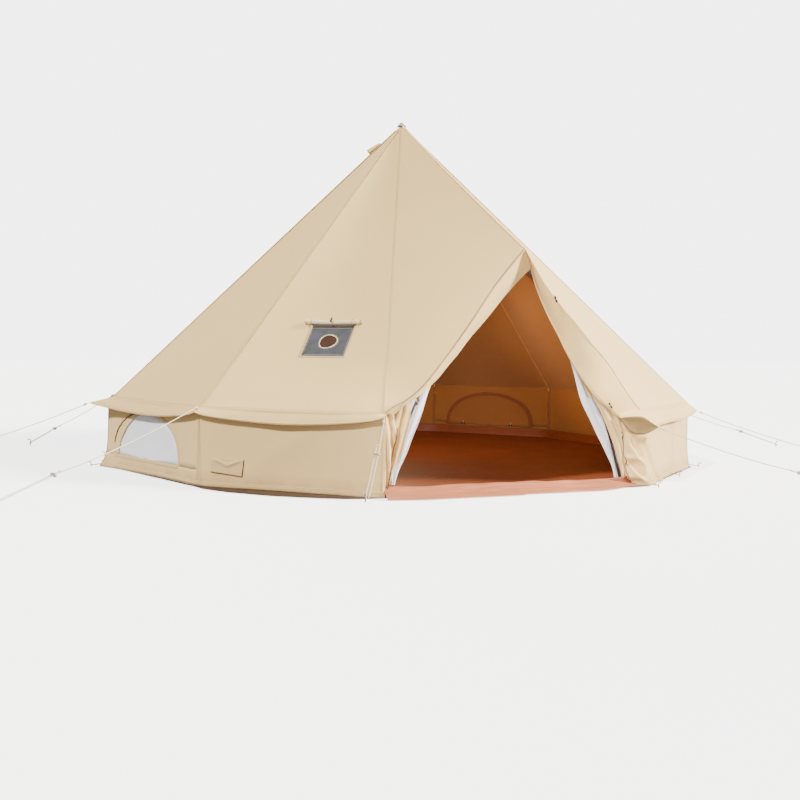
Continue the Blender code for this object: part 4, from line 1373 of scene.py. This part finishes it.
# ---------------------------------------------------------------- vents
VENT_TOP = 0.18
VENT_LENGTH = 0.13
VENT_LIFT = 0.045
for word, azimuth in (("left", math.radians(112)), ("right", math.radians(248))):
    out = at_azimuth(azimuth, 1.0, 0.0)
    down = (out - UP * SLOPE).normalized()
    across = UP.cross(out).normalized()
    up = across.cross(down)
    up = -up if up.z < 0 else up
    start = at_azimuth(azimuth, VENT_TOP, CONE_HEIGHT - SLOPE * VENT_TOP) + up * 0.004

    def hood_cloth(t, c):
        q, grow = 2 * c - 1, 0.25 + 0.75 * t ** 0.8
        lift = (1 - abs(q) ** 1.7) * grow * VENT_LIFT
        return start + down * (VENT_LENGTH * t) + across * (q * grow * 0.06) + up * lift

    def mouth_cloth(t, c):
        q = 2 * c - 1
        return start + down * 0.118 + across * (q * 0.055) + up * (t * (1 - abs(q) ** 1.7) * 0.041)

    hood_rows = grid(hood_cloth, 12, 16)
    hood = surface("vent_hood_cloth_" + word, [hood_rows[::-1]], [canvas, canvas_in_painted_glow], thick=CLOTH)
    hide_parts("vent_hood_" + word)
    # Painted shade: the vent's mouth is closed by a dark brown sheet for the dark opening under its hood.
    mouth_rows = grid(mouth_cloth, 6, 12)
    mouth_shade = surface("vent_mouth_shade_" + word, [mouth_rows], [hole_painted_shade], thick=0.0006, weld=False)

# ---------------------------------------------------------------- toggles and tie-backs at the door
for side, word, x, z in ((-1, "left", -0.793, 0.640), (1, "right", 0.680, 0.605)):
    top = Vector((x, -2.325, z))
    hangs = Vector((side * 0.5, -0.2, -0.85))
    toggle("door_toggle_" + word, top + Vector((side * 0.005, -0.030, -0.012)), hangs,
           top + Vector((side * 0.015, -0.012, 0.02)))

for name, place, tilt in (("hood_toggle", Vector((0.245, -2.315, 1.330)), Vector((0.4, 0, -0.9))),
                          ("net_toggle", Vector((0.450, -2.190, 0.945)), Vector((0.1, 0, -1)))):
    toggle(name, place, tilt, place + Vector((-0.012, 0.010, 0.035)), length=0.05)
inside_six = bay_frame(6, SILL)
for number, x in (("1", 0.30), ("2", -0.26)):
    place = inside_six @ Vector((x, 0.022, 0.004))
    toggle("window_toggle_" + number, place, inside_six.to_3x3() @ Vector((1, 0, 0.1)),
           place + UP * 0.03 - inside_six.to_3x3() @ Vector((0, 0.008, 0)), length=0.04)

# The valance's end at the right door corner: a short flap, turned up; its lower part takes the darker canvas
# colour, painted shade for its shaded side.
tip = hem_tip(GORES)
TURNED = (
    ((0.800, -2.283, 0.530), (0.900, -2.283, 0.545), (1.000, -2.292, 0.553), (1.030, -2.360, 0.490), tip),
    ((0.797, -2.312, 0.498), (0.841, -2.345, 0.507), (0.935, -2.385, 0.509), (1.000, -2.405, 0.470), tip),
    ((0.797, -2.312, 0.494), (0.846, -2.322, 0.440), (0.898, -2.332, 0.392), (0.985, -2.350, 0.382), tip))
curves = [rounded([Vector(p) for p in line], 0.01) for line in TURNED]
for name, (upper, lower), bow, look in (("valance_end_flap", curves[:2], 0.008, canvas),
                                        ("valance_turned_end", curves[1:], -0.016, painted_shade_cloth)):
    def flap_point(r, c):
        p = lerp(polyline(upper, c), polyline(lower, c), r)
        bulge = (bow * math.sin(PI * c) + 0.004 * wave(p, 0.05, 3.0)) * math.sin(PI * r)
        return p + Vector((0, -bulge, 0))

    made = surface(name, [grid(flap_point, 10, 32)], [look], thick=CLOTH, weld=False)

# ---------------------------------------------------------------- floor and lights
ground = bmesh.new()
bmesh.ops.create_grid(ground, x_segments=2, y_segments=2, size=40)
floor_mesh = bpy.data.meshes.new("studio_floor")
ground.to_mesh(floor_mesh)
ground.free()
studio = Look("studio_floor", roughness=0.9)
studio.colour(studio.ramp(studio.noise(0.4, 2.0), [(0.2, (0.93, 0.93, 0.93, 1)), (0.8, (0.96, 0.96, 0.96, 1))]))
plane = link("studio_floor", floor_mesh, [studio.material])
plane.location.z = -0.001
studio.shader.inputs["Emission Color"].default_value = (1.0, 1.0, 1.0, 1.0)
studio.shader.inputs["Emission Strength"].default_value = 2.2
plane.visible_diffuse = False
plane.visible_glossy = False

world = bpy.data.worlds.new("studio")
world.use_nodes = True
backdrop = world.node_tree.nodes["Background"]
backdrop.inputs["Color"].default_value = (1.0, 0.995, 0.985, 1.0)
paths = world.node_tree.nodes.new("ShaderNodeLightPath")
seen = world.node_tree.nodes.new("ShaderNodeMapRange")
seen.inputs["To Min"].default_value = 0.45
seen.inputs["To Max"].default_value = 5.1
world.node_tree.links.new(paths.outputs["Is Camera Ray"], seen.inputs["Value"])
world.node_tree.links.new(seen.outputs["Result"], backdrop.inputs["Strength"])
bpy.context.scene.world = world


def lamp(kind, name, strength, colour, place, along, **settings):
    """A light at a place, shining along a direction."""
    data = bpy.data.lights.new(name, kind)
    data.energy = strength
    data.color = colour
    for key, value in settings.items():
        setattr(data, key, value)
    made = bpy.data.objects.new(name, data)
    bpy.context.scene.collection.objects.link(made)
    turned = Vector(along).to_track_quat("-Z", "Y").to_matrix().to_4x4()
    made.matrix_world = Matrix.Translation(place) @ turned


ORIGIN = (0.0, 0.0, 0.0)
DOWN = (0.0, 0.0, -1.0)
SUNLIGHT = (1.0, 0.98, 0.94)
lamp("SUN", "key", 12.0, (1.0, 0.96, 0.90), ORIGIN, (-0.82, 0.48, -0.42), angle=math.radians(16))
lamp("SUN", "top", 5.2, SUNLIGHT, ORIGIN, (0.72, 0.36, -0.80), angle=math.radians(5))
lamp("SUN", "rear", 1.6, (1.0, 0.98, 0.95), ORIGIN, (-0.10, -0.85, -0.52), angle=math.radians(30))
lamp("POINT", "canvas_glow", 48, (1.0, 0.76, 0.46), (-0.2, 0.3, 1.25), DOWN, shadow_soft_size=0.6)
lamp("SPOT", "side_glow", 330, (1.0, 0.74, 0.44), (-1.2, -0.7, 0.6), (3.3, 0.85, 0.4),
     spot_size=math.radians(36), spot_blend=0.6, shadow_soft_size=0.3)
lamp("SPOT", "front_fill", 1050, SUNLIGHT, (-1.6, -6.2, 1.3), (2.05, 3.9, -0.5),
     spot_size=math.radians(42), spot_blend=0.85, shadow_soft_size=0.7)

for name, look in (("centre_pole_lower", steel), ("centre_pole_upper", steel), ("door_pole_left", frame_steel),
                   ("door_pole_right", frame_steel), ("centre_pole_foot", rubber), ("door_pole_apex", rubber),
                   ("crown_cap", crown_look)):
    NODES[name].data.materials.clear()
    NODES[name].data.materials.append(look)
